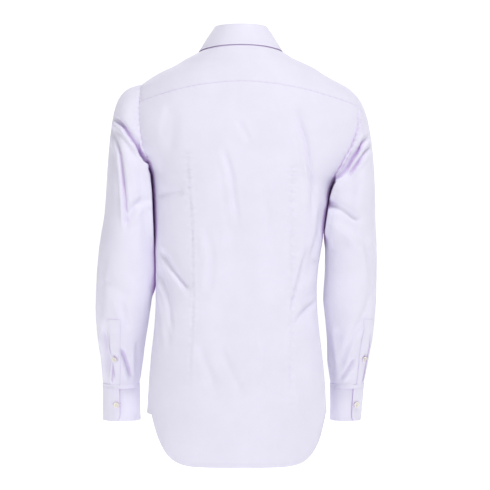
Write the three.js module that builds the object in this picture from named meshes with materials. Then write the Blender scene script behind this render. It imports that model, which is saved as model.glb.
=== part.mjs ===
// Long sleeve dress shirt in the form it has when it is worn, with its sleeves hanging.
// Millimetres, +Z up, front toward -Y, the wearer's left toward +X.
// The origin is the middle of the neck opening, at the height of the neck seam at the centre back.
import * as THREE from 'three';

// Cloth and sewing
const CLOTH = 1.2;
const LEAST_SLANT = 0.6;
const DOUBLED_CLOTH = 1.8;
const SEAM_GAP = 0.3;
const LAP_GAP = 0.7;

// Body sections from the tails to the neck seam, one row for each height.
// side: height at the side; backRise and frontDrop: how much higher or lower the same ring
// runs at the centre back and front; left, right, back, front: reach from the middle;
// square: 2 for an ellipse, more for a boxier section.
const SECTION_COLUMNS = ['side', 'backRise', 'frontDrop', 'left', 'right', 'back', 'front', 'square'];
const SECTIONS = table(SECTION_COLUMNS, [
  [-800, 0, 0, 172, 158, 114, 118, 2.3],
  [-720, 0, 0, 173, 158, 114, 118, 2.3],
  [-650, 0, 0, 172, 156, 109, 117, 2.3],
  [-590, 0, 0, 168, 152, 101, 114, 2.3],
  [-530, 0, 0, 161, 145, 92, 112, 2.3],
  [-475, 0, 0, 158, 141, 88, 111, 2.3],
  [-420, 0, 0, 158, 143, 92, 114, 2.3],
  [-365, 0, 0, 159, 151, 100, 119, 2.3],
  [-310, 0, 0, 161, 159, 107, 123, 2.35],
  [-278, 0, 0, 162, 164, 110, 125, 2.4],
  [-256, 0, 0, 164, 172, 111, 125, 2.4],
  [-238, 0, 0, 167, 188, 111, 125, 2.4],
  [-215, 0, 0, 181, 210, 110, 124, 2.4],
  [-190, 0, 0, 200, 231, 108, 121, 2.4],
  [-160, 0, 2, 212, 242, 106, 117, 2.4],
  [-130, 0, 7, 212, 234, 103, 112, 2.4],
  [-108, 0, 13, 203, 221, 100, 108, 2.4],
  [-90, 0, 18, 193, 206, 96, 104, 2.4],
  [-76, 0, 23, 184, 185, 92, 100, 2.35],
  [-60, 0, 28, 160, 156, 87, 95, 2.3],
  [-44, 1, 33, 126, 132, 80, 89, 2.2],
  [-30, 3, 38, 104, 101, 73, 83, 2.15],
  [-19, 6, 42, 83, 82, 66, 78, 2.1],
  [-10, 10, 45, 64, 64, 59, 73, 2.05],
]);
const NECK_LEVEL = SECTIONS.length - 1;

// Armholes: heights of the shoulder tip and the underarm, how far the edge opens toward the
// back and the front, and where the yoke's seams meet it, in degrees around it from the underarm
const ARMHOLES = {
  left: { sign: 1, tip: -76, underarm: -235, openBack: 33, openFront: 31, yokeBack: 124, yokeFront: 231 },
  right: { sign: -1, tip: -96, underarm: -257, openBack: 33, openFront: 31, yokeBack: 135, yokeFront: 226 },
};
const ARMHOLE_PANEL_STEPS = 9;
const ARMHOLE_YOKE_STEPS = 3;
const AROUND = 2 * (ARMHOLE_PANEL_STEPS + ARMHOLE_YOKE_STEPS);

// Yoke: height of its back seam at the centre, how the seam falls outward,
// and where the front seams start at the neck
const YOKE_BACK_HEIGHT = -77;
const YOKE_FALL_POWER = 1.8;
const YOKE_NECK_ANGLE = 30;

// Hem: heights at the side seams and at the bottom of each tail
const HEM_SIDE = -681;
const HEM_BACK = -770;
const HEM_FRONT = -757;
const HEM_CURVE_REACH = { left: 0.935, right: 0.985 };
const HEM_CURVE_POWER = 6.5;

// Front closing: the left front laps over the right one about the centre line
const LAP_HALF = 16;
const LAP_RAMP_START = -52;
const LAP_RAMP_END = -24;

// Mesh steps of the body panels
const BACK_COLUMNS = 24;
const LOWER_ROWS = 13;
const FRONT_NECK_COLUMNS = 7;
const FRONT_SEAM_ANGLE = 36;
const YOKE_ROWS = 7;

// Arm sections, one row for each height, from above the elbow to the end of the cuff.
// outer and inner: distance from the middle of the body; middle: how far back the arm's
// centre is; depth: half the arm's size from front to back.
const ARM_COLUMNS = ['height', 'outer', 'inner', 'middle', 'depth'];
const ARMS = {
  left: table(ARM_COLUMNS, [
    [-250, 247, 166, 2, 68],
    [-310, 252, 162.5, 0, 66],
    [-365, 261, 161, -3, 62],
    [-420, 267, 160, -6, 57],
    [-470, 270, 165, -9, 53],
    [-512, 270, 171, -17, 50],
    [-550, 267, 178, -28, 47],
    [-588, 262, 184, -41, 43],
    [-632, 261, 190, -58, 38],
    [-702, 262, 190, -77, 38],
  ]),
  right: table(ARM_COLUMNS, [
    [-250, 249, 171, 2, 68],
    [-310, 249, 160.5, 0, 66],
    [-365, 251, 156, -3, 62],
    [-420, 251, 155, -6, 57],
    [-470, 251, 152, -9, 53],
    [-512, 249, 157, -17, 50],
    [-550, 245, 161, -28, 47],
    [-588, 238, 162, -41, 43],
    [-632, 232, 167, -58, 37],
    [-702, 227, 168, -77, 37],
  ]),
};
const CAP_END = -310;
const CAP_ROWS = 8;
const ARM_ROWS = 13;
const CUFF_TOP = -632;
const CUFF_BOTTOM = -702;
const CAP_FULLNESS = 0.68;
const UPWARD_STEP = 20;

// How each sleeve leaves its armhole: outward and downward, at the tip and at the underarm
const CAP_LEAVES = {
  left: { tipOut: 62, tipDown: 2, underOut: 0.5, underDown: 8, swell: 8 },
  right: { tipOut: 20, tipDown: 20, underOut: 0.5, underDown: 8, swell: 8 },
};

// Cuffs: where the free edge lies, in degrees from the outer side toward the back
const CUFF_EDGE = { left: 88, right: 70 };
const CUFF_OVERLAP = 36;
const CUFF_CORNER = 12;
const CUFF_ROWS = 4;
const CUFF_RADIUS = 36;
const CUFF_FIRST_ANGLES = [0, 3, 7, 12, 18];
const CUFF_ANGLE_START = 30;
const CUFF_ANGLE_STEP = 15;
const CUFF_RAMP_START = 285;
const CUFF_RAMP_END = 345;
const CUFF_BUTTON_ANGLE = { left: 9, right: 14 };
const CUFF_BUTTON_DROP = 0.55;

// Gauntlets: first column of the sleeve that they cover, and how many
const GAUNTLET_COLUMN = { left: 6, right: 8 };
const GAUNTLET_COLUMNS = 2;
const GAUNTLET_ROWS = 6;
const GAUNTLET_BUTTON_ROW = 2;

// Collar
const STAND_TOP = { half: 46, back: 53, front: 68, sideHeight: 28, backHeight: 28, frontHeight: -28 };
const STAND_ROWS = 3;
const STAND_STEPS = 40;
const STAND_GAP = 0.4;
const STAND_RAMP_START = 206;
const STAND_RAMP_END = 244;
const LEAF_STEPS = 36;
const LEAF_END_ANGLE = 84;
const LEAF_POINT_ANGLE = 73;
const LEAF_LIFT = 3.5;
const LEAF_ROLL = [[1.1, 0], [3.0, 1.0], [3.0, 3.4], [0.8, 5.0]];
const LEAF_FALL_ROWS = 4;
const LEAF_BACK_LEVEL = 22.3;
const LEAF_POINT_LEVEL = 19.3;
const LEAF_DROP_START = 0.5;

// Buttons
const BUTTON_RADIUS = 5.5;
const SMALL_BUTTON_RADIUS = 4.75;
const BUTTON_THICKNESS = 2.4;
const BUTTON_STEPS = 16;
const BUTTON_RIM = 0.5;
const FRONT_BUTTONS = 6;
const FIRST_BUTTON = -114;
const BUTTON_SPACING = 95;

// Rows over which the sleeve's folds fade in at the armhole and out at the cuff
const FOLD_START_ROWS = 3;
const FOLD_END_ROWS = 2;

// Largest folds: each is a soft trough (depth below 0) or ridge along a line seen from the
// front or the back, between two points given by x and height
const FOLD_COLUMNS = ['face', 'startX', 'startZ', 'endX', 'endZ', 'width', 'depth'];
const BACK_FACE = 1;
const FRONT_FACE = -1;
const BODY_FOLDS = table(FOLD_COLUMNS, [
  [BACK_FACE, 154, -375, 88, -462, 13, -4.0],
  [BACK_FACE, 156, -402, 120, -500, 12, -3.5],
  [BACK_FACE, 160, -280, 100, -276, 12, -3.0],
  [BACK_FACE, 124, -118, 125, -215, 11, -2.5],
  [BACK_FACE, 34, -195, 12, -400, 11, -2.6],
  [BACK_FACE, -93, -110, -121, -238, 11, -3.0],
  [BACK_FACE, -121, -238, -134, -330, 11, -2.6],
  [BACK_FACE, -138, -395, -104, -452, 11, -4.0],
  [BACK_FACE, -140, -440, -112, -510, 11, -3.4],
  [BACK_FACE, 84, -560, 44, -634, 12, -2.6],
  [BACK_FACE, 46, -556, -8, -650, 12, -2.6],
  [FRONT_FACE, 150, -250, 92, -330, 13, -3.6],
  [FRONT_FACE, 152, -395, 84, -470, 13, -3.6],
  [FRONT_FACE, 148, -450, 108, -540, 12, -3.0],
  [FRONT_FACE, -158, -262, -96, -335, 13, -3.6],
  [FRONT_FACE, -138, -400, -80, -476, 13, -3.6],
  [FRONT_FACE, -134, -455, -100, -545, 12, -3.0],
]);
const SLEEVE_FOLDS = {
  left: table(FOLD_COLUMNS, [
    [BACK_FACE, 236, -140, 176, -230, 11, -6.0],
    [BACK_FACE, 238, -165, 212, -290, 11, -4.0],
    [BACK_FACE, 212, -318, 176, -292, 12, -3.5],
    [BACK_FACE, 258, -430, 196, -478, 13, -4.5],
    [BACK_FACE, 256, -505, 246, -612, 9, -4.0],
    [BACK_FACE, 222, -560, 200, -624, 9, -3.5],
    [FRONT_FACE, 236, -150, 190, -250, 12, -4.5],
    [FRONT_FACE, 250, -450, 184, -440, 13, -6.5],
    [FRONT_FACE, 262, -486, 190, -478, 12, -5.0],
  ]),
  right: table(FOLD_COLUMNS, [
    [BACK_FACE, -238, -172, -178, -262, 11, -6.0],
    [BACK_FACE, -228, -212, -190, -292, 10, -4.0],
    [BACK_FACE, -240, -372, -170, -318, 13, -5.0],
    [BACK_FACE, -236, -520, -190, -618, 12, -4.0],
    [BACK_FACE, -176, -520, -184, -610, 9, -3.0],
    [FRONT_FACE, -232, -175, -192, -270, 12, -4.5],
    [FRONT_FACE, -238, -452, -170, -438, 13, -6.5],
    [FRONT_FACE, -244, -490, -176, -480, 12, -5.0],
  ]),
};

// Materials
const CLOTH_LOOK = { color: 0xe2dcf2, roughness: 0.78, metalness: 0 };
const BUTTON_LOOK = { color: 0xf0ecdf, roughness: 0.35, metalness: 0 };

function table(columns, rows) {
  return rows.map((row) => Object.fromEntries(columns.map((name, k) => [name, row[k]])));
}

function vec(x, y, z) {
  return new THREE.Vector3(x, y, z);
}

function lerp(a, b, t) {
  return a + (b - a) * t;
}

function smooth(from, to, value) {
  return THREE.MathUtils.smoothstep((value - from) / (to - from), 0, 1);
}

function radians(degrees) {
  return (degrees * Math.PI) / 180;
}

function signedPower(value, power) {
  return Math.sign(value) * Math.abs(value) ** power;
}

// All the columns of a table at a place between its rows
function between(rows, place) {
  const last = rows.length - 1;
  const i = Math.min(Math.max(Math.floor(place), 0), last - 1);
  const t = place - i;
  const row = (k) => rows[Math.min(Math.max(k, 0), last)];
  const result = {};
  for (const key of Object.keys(rows[0])) {
    const a = row(i - 1)[key];
    const b = row(i)[key];
    const c = row(i + 1)[key];
    const d = row(i + 2)[key];
    result[key] = b + 0.5 * t * (c - a + t * (2 * a - 5 * b + 4 * c - d + t * (3 * (b - c) + d - a)));
  }
  return result;
}

// The place where a rising function of the place reaches a value
function placeWhere(height, value, low, high) {
  let a = low;
  let b = high;
  for (let k = 0; k < 40; k += 1) {
    const middle = (a + b) / 2;
    if (height(middle) < value) {
      a = middle;
    } else {
      b = middle;
    }
  }
  return (a + b) / 2;
}

// How far the folds of a table move the cloth at a point, with its outward normal
function foldDepth(folds, point, normal) {
  let sum = 0;
  for (const fold of folds) {
    const dx = fold.endX - fold.startX;
    const dz = fold.endZ - fold.startZ;
    const along = ((point.x - fold.startX) * dx + (point.z - fold.startZ) * dz) / (dx * dx + dz * dz);
    const t = Math.min(Math.max(along, 0), 1);
    const away = Math.hypot(point.x - fold.startX - t * dx, point.z - fold.startZ - t * dz);
    const ends = smooth(0, 0.25, t) * smooth(1, 0.75, t);
    const facing = smooth(0.05, 0.45, normal.y * fold.face);
    sum += fold.depth * ends * facing * Math.exp(-((away / fold.width) ** 2));
  }
  return sum;
}

// Body surface: angle 0 is the wearer's left side, 90 the back, 180 the right side, 270 the front
function plainBodyPoint(angle, level) {
  const s = between(SECTIONS, level);
  const c = Math.cos(radians(angle));
  const n = Math.sin(radians(angle));
  const x = (c > 0 ? s.left : s.right) * signedPower(c, 2 / s.square);
  const y = (n > 0 ? s.back : s.front) * signedPower(n, 2 / s.square);
  const z = s.side + (n > 0 ? s.backRise : -s.frontDrop) * n * n;
  return vec(x, y, z);
}

function surfaceNormal(surface, a, b, stepA, stepB) {
  const alongA = surface(a + stepA, b).sub(surface(a - stepA, b));
  const alongB = surface(a, b + stepB).sub(surface(a, b - stepB));
  return alongA.cross(alongB).normalize();
}

function bodyPoint(angle, level) {
  const point = plainBodyPoint(angle, level);
  const normal = surfaceNormal(plainBodyPoint, angle, level, 0.4, 0.04);
  return point.addScaledVector(normal, foldDepth(BODY_FOLDS, point, normal));
}

function bodyNormal(angle, level) {
  return surfaceNormal(bodyPoint, angle, level, 0.4, 0.04);
}

function levelAtSide(height) {
  return placeWhere((level) => between(SECTIONS, level).side, height, 0, NECK_LEVEL);
}

function levelAt(angle, height) {
  return placeWhere((level) => plainBodyPoint(angle, level).z, height, 0, NECK_LEVEL);
}

// A place on the armhole, turn degrees around it: 0 at the underarm, 90 at the back, 180 at the tip
function armholePlace(side, turn) {
  const hole = ARMHOLES[side];
  const rise = (1 - Math.cos(radians(turn))) / 2;
  const open = (turn < 180 ? hole.openBack : hole.openFront) * Math.sin(radians(turn));
  const sideAngle = hole.sign > 0 ? 0 : 180;
  return {
    angle: sideAngle + hole.sign * open,
    level: levelAtSide(lerp(hole.underarm, hole.tip, rise)),
  };
}

// The turns at which armhole and sleeve share their points
function armholeTurns(side) {
  const hole = ARMHOLES[side];
  const stops = [0, hole.yokeBack, 180, hole.yokeFront, 360];
  const steps = [ARMHOLE_PANEL_STEPS, ARMHOLE_YOKE_STEPS, ARMHOLE_YOKE_STEPS, ARMHOLE_PANEL_STEPS];
  const turns = [];
  steps.forEach((count, k) => {
    for (let i = 0; i < count; i += 1) {
      turns.push(lerp(stops[k], stops[k + 1], i / count));
    }
  });
  return turns;
}

// Arm section: turn runs as on the armhole, from the inner side over the back to the outer side
function armPoint(side, turn, height) {
  const rows = ARMS[side];
  const s = between(rows, placeWhere((k) => -between(rows, k).height, -height, 0, rows.length - 1));
  const angle = radians(180 - turn);
  const centre = (s.outer + s.inner) / 2;
  const half = (s.outer - s.inner) / 2;
  const x = ARMHOLES[side].sign * (centre + half * Math.cos(angle));
  return vec(x, s.middle + s.depth * Math.sin(angle), height);
}

// The points of a whole sleeve, from its armhole down to its cuff, with its folds
function sleevePoints(side) {
  const sign = ARMHOLES[side].sign;
  const leave = CAP_LEAVES[side];
  const turns = armholeTurns(side);
  const ring = (place) => turns.map((turn, j) => place(turn, (360 * j) / AROUND));
  const rows = [];
  for (let r = 0; r <= CAP_ROWS; r += 1) {
    rows.push(ring((turn, armTurn) => {
      const { angle, level } = armholePlace(side, turn);
      const start = bodyPoint(angle, level);
      const end = armPoint(side, armTurn, CAP_END);
      const upward = armPoint(side, armTurn, CAP_END + UPWARD_STEP).sub(end).divideScalar(UPWARD_STEP);
      const tip = (1 - Math.cos(radians(turn))) / 2;
      const out = lerp(leave.underOut, leave.tipOut, tip);
      const down = lerp(leave.underDown, leave.tipDown, tip);
      const swell = leave.swell * Math.sin(radians(turn));
      const first = start.clone().add(vec(sign * out, swell, -down));
      const second = end.clone().addScaledVector(upward, CAP_FULLNESS * (start.z - CAP_END));
      return new THREE.CubicBezierCurve3(start, first, second, end).getPoint(r / CAP_ROWS);
    }));
  }
  for (let r = 1; r <= ARM_ROWS; r += 1) {
    const height = lerp(CAP_END, CUFF_TOP + SEAM_GAP, r / ARM_ROWS);
    rows.push(ring((turn, armTurn) => armPoint(side, armTurn, height)));
  }
  const plain = ringNormals(rows, sign);
  return rows.map((row, r) => row.map((point, j) => {
    const last = rows.length - 1;
    const fade = smooth(0, FOLD_START_ROWS, r) * smooth(last, last - FOLD_END_ROWS, r);
    const depth = foldDepth(SLEEVE_FOLDS[side], point, plain[r][j]);
    return point.clone().addScaledVector(plain[r][j], fade * depth);
  }));
}

// Outward normals of rings of points; sign is 1 where the rings run from the inner side
// over the back on the wearer's left arm, and -1 on the right one
function ringNormals(rows, sign) {
  return rows.map((row, r) => row.map((point, j) => {
    const count = row.length;
    const around = row[(j + 1) % count].clone().sub(row[(j + count - 1) % count]);
    const below = rows[Math.min(r + 1, rows.length - 1)][j];
    const downward = below.clone().sub(rows[Math.max(r - 1, 0)][j]);
    return around.cross(downward).multiplyScalar(sign).normalize();
  }));
}

// Moves a point of a piece's edge away from the seam, at right angles to both edge segments
function seamShift(before, point, after, normal, inside) {
  const toInside = inside.clone().sub(point);
  const away = [point.clone().sub(before), after.clone().sub(point)].map((edge) => {
    const direction = normal.clone().cross(edge).normalize();
    return direction.dot(toInside) < 0 ? direction.negate() : direction;
  });
  const scale = SEAM_GAP / 2 / Math.max(1 + away[0].dot(away[1]), 0.5);
  return away[0].add(away[1]).multiplyScalar(scale);
}

// A closed wall between two grids of points; rings joins the last column to the first
function wallGeometry(outer, inner, rings) {
  const rows = outer.length;
  const columns = outer[0].length;
  const positions = [];
  for (const point of [...outer.flat(), ...inner.flat()]) {
    positions.push(point.x, point.y, point.z);
  }
  const index = [];
  const at = (layer, r, c) => (layer * rows + r) * columns + (c % columns);
  const quad = (a, b, c, d) => index.push(a, b, c, a, c, d);
  const across = rings ? columns : columns - 1;
  const apart = ([r, c], [s, d]) => outer[r][c % columns].distanceTo(outer[s][d % columns]);
  for (let r = 0; r < rows - 1; r += 1) {
    for (let c = 0; c < across; c += 1) {
      const corners = [[r, c], [r, c + 1], [r + 1, c + 1], [r + 1, c]];
      if (apart(corners[0], corners[2]) > apart(corners[1], corners[3])) {
        corners.push(corners.shift());
      }
      const [first, second, third, fourth] = corners;
      quad(at(0, ...first), at(0, ...second), at(0, ...third), at(0, ...fourth));
      quad(at(1, ...first), at(1, ...fourth), at(1, ...third), at(1, ...second));
    }
    if (!rings) {
      quad(at(0, r, 0), at(0, r + 1, 0), at(1, r + 1, 0), at(1, r, 0));
      quad(at(0, r + 1, across), at(0, r, across), at(1, r, across), at(1, r + 1, across));
    }
  }
  for (let c = 0; c < across; c += 1) {
    quad(at(0, 0, c + 1), at(0, 0, c), at(1, 0, c), at(1, 0, c + 1));
    quad(at(0, rows - 1, c), at(0, rows - 1, c + 1), at(1, rows - 1, c + 1), at(1, rows - 1, c));
  }
  const geometry = new THREE.BufferGeometry();
  geometry.setAttribute('position', new THREE.Float32BufferAttribute(positions, 3));
  geometry.setIndex(signedVolume(positions, index) < 0 ? index.reverse() : index);
  geometry.computeVertexNormals();
  return geometry;
}

function signedVolume(positions, index) {
  let volume = 0;
  const corner = (k) => vec(positions[3 * k], positions[3 * k + 1], positions[3 * k + 2]);
  for (let i = 0; i < index.length; i += 3) {
    volume += corner(index[i]).dot(corner(index[i + 1]).cross(corner(index[i + 2])));
  }
  return volume;
}

const shirt = new THREE.Group();

function addPiece(name, geometry, look) {
  const mesh = new THREE.Mesh(geometry, new THREE.MeshStandardMaterial(look));
  mesh.name = name;
  shirt.add(mesh);
}

// Sleeves come first, because body and sleeve share the slant of their edges at the armhole
const sleeves = {};
for (const side of ['left', 'right']) {
  const points = sleevePoints(side);
  const normals = ringNormals(points, ARMHOLES[side].sign);
  const edge = armholeTurns(side).map((turn, j) => {
    const { angle, level } = armholePlace(side, turn);
    return bodyNormal(angle, level).add(normals[0][j]).normalize();
  });
  sleeves[side] = { points, normals, edge };
}

// A place of a body panel's edge on the armhole, which keeps the slant shared with the sleeve
function armholeEdge(side, index) {
  const j = (index + AROUND) % AROUND;
  return { ...armholePlace(side, armholeTurns(side)[j]), slant: sleeves[side].edge[j] };
}

// A grid of places between four edges, each a list of places on the body surface
function fillEdges(bottom, top, first, last) {
  const rows = first.length - 1;
  const columns = bottom.length - 1;
  const grid = [];
  for (let r = 0; r <= rows; r += 1) {
    const v = r / rows;
    grid.push([]);
    for (let c = 0; c <= columns; c += 1) {
      const u = c / columns;
      const mix = (key) => {
        const low = lerp(bottom[0][key], bottom[columns][key], u);
        const high = lerp(top[0][key], top[columns][key], u);
        const upright = lerp(bottom[c][key], top[c][key], v);
        return upright + lerp(first[r][key], last[r][key], u) - lerp(low, high, v);
      };
      grid[r].push({ angle: mix('angle'), level: mix('level') });
    }
    grid[r][0].slant = first[r].slant;
    grid[r][columns].slant = last[r].slant;
  }
  for (let c = 0; c <= columns; c += 1) {
    grid[rows][c].slant = top[c].slant;
  }
  return grid;
}

// A panel of the body: its wall's outer face is the body surface, sunk where it lies under a lap
function panelGeometry(grid, sunk = () => 0) {
  const last = { r: grid.length - 1, c: grid[0].length - 1 };
  const surface = grid.map((row) => row.map(({ angle, level }) => {
    const normal = bodyNormal(angle, level);
    const point = bodyPoint(angle, level);
    return { normal, point: point.addScaledVector(normal, -sunk(point)) };
  }));
  const rim = [
    ...spread(last.c, (u, c) => [0, c]),
    ...spread(last.r, (v, r) => [r, last.c]).slice(1),
    ...spread(last.c, (u, c) => [last.r, last.c - c]).slice(1),
    ...spread(last.r, (v, r) => [last.r - r, 0]).slice(1, -1),
  ];
  const outer = surface.map((row) => row.map(({ point }) => point.clone()));
  const inner = surface.map((row) => row.map(({ point, normal }) => (
    point.clone().addScaledVector(normal, -CLOTH)
  )));
  rim.forEach(([r, c], k) => {
    const [rb, cb] = rim[(k + rim.length - 1) % rim.length];
    const [ra, ca] = rim[(k + 1) % rim.length];
    const { point, normal } = surface[r][c];
    const slant = grid[r][c].slant ?? normal;
    const insideRow = surface[Math.min(Math.max(r, 1), last.r - 1)];
    const inside = insideRow[Math.min(Math.max(c, 1), last.c - 1)].point;
    const shift = seamShift(surface[rb][cb].point, point, surface[ra][ca].point, slant, inside);
    const depth = CLOTH / Math.max(slant.dot(normal), LEAST_SLANT);
    outer[r][c] = point.clone().add(shift);
    inner[r][c] = point.clone().addScaledVector(slant, -depth).add(shift);
  });
  return wallGeometry(outer, inner, false);
}

function spread(count, place) {
  return Array.from({ length: count + 1 }, (unused, k) => place(k / count, k));
}

// Hem height at an angle: one curve for the back tail and one for the front tails
function hemPlace(angle) {
  const bottom = Math.sin(radians(angle)) > 0 ? HEM_BACK : HEM_FRONT;
  const across = Math.cos(radians(angle));
  const reach = HEM_CURVE_REACH[across > 0 ? 'left' : 'right'];
  const curve = Math.min(Math.abs(across) / reach, 1) ** HEM_CURVE_POWER;
  const height = lerp(bottom, HEM_SIDE, curve);
  return { angle, level: levelAt(angle, height) };
}

// Back
const backCorners = {
  left: armholeEdge('left', ARMHOLE_PANEL_STEPS),
  right: armholeEdge('right', ARMHOLE_PANEL_STEPS),
};

function yokeSeamPlace(u) {
  const angle = lerp(backCorners.left.angle, backCorners.right.angle, u);
  const corner = u < 0.5 ? backCorners.left : backCorners.right;
  const end = bodyPoint(corner.angle, corner.level);
  const above = (level) => {
    const point = bodyPoint(angle, level);
    const fall = Math.min(Math.abs(point.x / end.x), 1) ** YOKE_FALL_POWER;
    return point.z - lerp(YOKE_BACK_HEIGHT, end.z, fall);
  };
  return { angle, level: placeWhere(above, 0, 0, NECK_LEVEL) };
}

const yokeBackSeam = spread(BACK_COLUMNS, yokeSeamPlace);
yokeBackSeam[0] = backCorners.left;
yokeBackSeam[BACK_COLUMNS] = backCorners.right;
const underarm = { left: armholeEdge('left', 0), right: armholeEdge('right', 0) };

function sideSeam(side) {
  const angle = underarm[side].angle;
  const low = hemPlace(angle).level;
  return spread(LOWER_ROWS, (v) => ({ angle, level: lerp(low, underarm[side].level, v) }));
}

const backWaist = spread(BACK_COLUMNS, (u) => ({
  angle: lerp(0, 180, u),
  level: lerp(underarm.left.level, underarm.right.level, u),
}));
backWaist[0] = underarm.left;
backWaist[BACK_COLUMNS] = underarm.right;
const backHem = spread(BACK_COLUMNS, (u) => hemPlace(lerp(0, 180, u)));
const backArmhole = (side) => spread(ARMHOLE_PANEL_STEPS, (v, k) => armholeEdge(side, k));
const backGrid = [
  ...fillEdges(backHem, backWaist, sideSeam('left'), sideSeam('right')).slice(0, -1),
  ...fillEdges(backWaist, yokeBackSeam, backArmhole('left'), backArmhole('right')),
];
addPiece('back', panelGeometry(backGrid), CLOTH_LOOK);

// Yoke: outer edge from the left front seam over the shoulder, along the back and over the right one
const overShoulder = (side) => spread(2 * ARMHOLE_YOKE_STEPS, (v, k) => (
  armholeEdge(side, ARMHOLE_PANEL_STEPS + k)
));
const yokeOuter = [
  ...overShoulder('left').reverse().slice(0, -1),
  ...yokeBackSeam,
  ...overShoulder('right').slice(1),
];
const yokeNeck = yokeOuter.map((place, k) => ({
  angle: lerp(-YOKE_NECK_ANGLE, 180 + YOKE_NECK_ANGLE, k / (yokeOuter.length - 1)),
  level: NECK_LEVEL,
}));
const frontSeam = (outer, neck) => spread(YOKE_ROWS, (v) => ({
  angle: lerp(outer.angle, neck.angle, v),
  level: lerp(outer.level, neck.level, v),
}));
const yokeEnds = {
  left: frontSeam(yokeOuter[0], yokeNeck[0]),
  right: frontSeam(yokeOuter.at(-1), yokeNeck.at(-1)),
};
const yokeGrid = fillEdges(yokeOuter, yokeNeck, yokeEnds.left, yokeEnds.right);
yokeGrid[0].forEach((place, k) => {
  place.slant = yokeOuter[k].slant;
});
addPiece('yoke', panelGeometry(yokeGrid), CLOTH_LOOK);

// Fronts: from the side seam and the armhole to a straight edge past the centre line
function frontEdgeAngle(side, level) {
  const sign = ARMHOLES[side].sign;
  const s = between(SECTIONS, level);
  const half = sign > 0 ? s.right : s.left;
  return 270 - sign * (90 - (Math.acos((LAP_HALF / half) ** (s.square / 2)) * 180) / Math.PI);
}

function frontGrid(side) {
  const sign = ARMHOLES[side].sign;
  const turned = (angle) => (sign > 0 && angle > 180 ? angle - 360 : angle);
  const edgePlace = (level) => ({ angle: turned(frontEdgeAngle(side, level)), level });
  const hemEnd = hemPlace(frontEdgeAngle(side, 0)).level;
  const columns = YOKE_ROWS + FRONT_NECK_COLUMNS;
  const start = underarm[side];
  const chestEnd = edgePlace(start.level);
  const under = YOKE_ROWS / columns;
  const seamAngle = start.angle - sign * FRONT_SEAM_ANGLE;
  const across = (end, u) => (u < under
    ? lerp(start.angle, seamAngle, u / under)
    : lerp(seamAngle, end, (u - under) / (1 - under)));
  const chest = spread(columns, (u) => ({ angle: across(chestEnd.angle, u), level: start.level }));
  chest[0] = start;
  const hem = spread(columns, (u) => {
    const angle = across(edgePlace(hemEnd).angle, u);
    return { ...hemPlace(angle), angle };
  });
  const neckEnd = edgePlace(NECK_LEVEL);
  const seam = yokeEnds[side];
  const neck = spread(FRONT_NECK_COLUMNS, (u) => ({
    angle: lerp(seam.at(-1).angle, neckEnd.angle, u),
    level: NECK_LEVEL,
  }));
  const armhole = spread(ARMHOLE_PANEL_STEPS, (v, k) => armholeEdge(side, AROUND - k));
  const edge = (low, high, rows) => spread(rows, (v) => edgePlace(lerp(low, high, v)));
  const lowerEdge = edge(hemEnd, start.level, LOWER_ROWS);
  const upperEdge = edge(start.level, NECK_LEVEL, ARMHOLE_PANEL_STEPS);
  return [
    ...fillEdges(hem, chest, sideSeam(side), lowerEdge).slice(0, -1),
    ...fillEdges(chest, [...seam, ...neck.slice(1)], armhole, upperEdge),
  ];
}

const lapDepth = CLOTH + LAP_GAP;
const sunkUnderLap = (point) => lapDepth * smooth(LAP_RAMP_START, LAP_RAMP_END, point.x);
addPiece('front_left', panelGeometry(frontGrid('left')), CLOTH_LOOK);
addPiece('front_right', panelGeometry(frontGrid('right'), sunkUnderLap), CLOTH_LOOK);

// Sleeves: one wall from the armhole to the cuff
for (const side of ['left', 'right']) {
  const { points, normals, edge } = sleeves[side];
  const inner = points.map((row, r) => row.map((point, j) => (
    point.clone().addScaledVector(normals[r][j], -CLOTH)
  )));
  const outer = points.map((row) => row.map((point) => point.clone()));
  points[0].forEach((point, j) => {
    const before = points[0][(j + AROUND - 1) % AROUND];
    const after = points[0][(j + 1) % AROUND];
    const shift = seamShift(before, point, after, edge[j], points[1][j]);
    const { angle, level } = armholePlace(side, armholeTurns(side)[j]);
    const depth = CLOTH / Math.max(edge[j].dot(bodyNormal(angle, level)), LEAST_SLANT);
    outer[0][j] = point.clone().add(shift);
    inner[0][j] = point.clone().addScaledVector(edge[j], -depth).add(shift);
  });
  inner.at(-1).forEach((point, j) => {
    point.z = outer.at(-1)[j].z;
  });
  addPiece('sleeve_' + side, wallGeometry(outer, inner, true), CLOTH_LOOK);
}

// Gauntlets lie on their sleeves, made from the sleeve's own points moved out
for (const side of ['left', 'right']) {
  const { points, normals } = sleeves[side];
  const firstColumn = GAUNTLET_COLUMN[side];
  const firstRow = points.length - GAUNTLET_ROWS;
  const moved = (out) => spread(GAUNTLET_ROWS - 1, (v, r) => spread(GAUNTLET_COLUMNS, (u, c) => {
    const normal = normals[firstRow + r][firstColumn + c];
    return points[firstRow + r][firstColumn + c].clone().addScaledVector(normal, out);
  }));
  addPiece('gauntlet_' + side, wallGeometry(moved(SEAM_GAP + CLOTH), moved(SEAM_GAP), false), CLOTH_LOOK);
}

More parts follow.
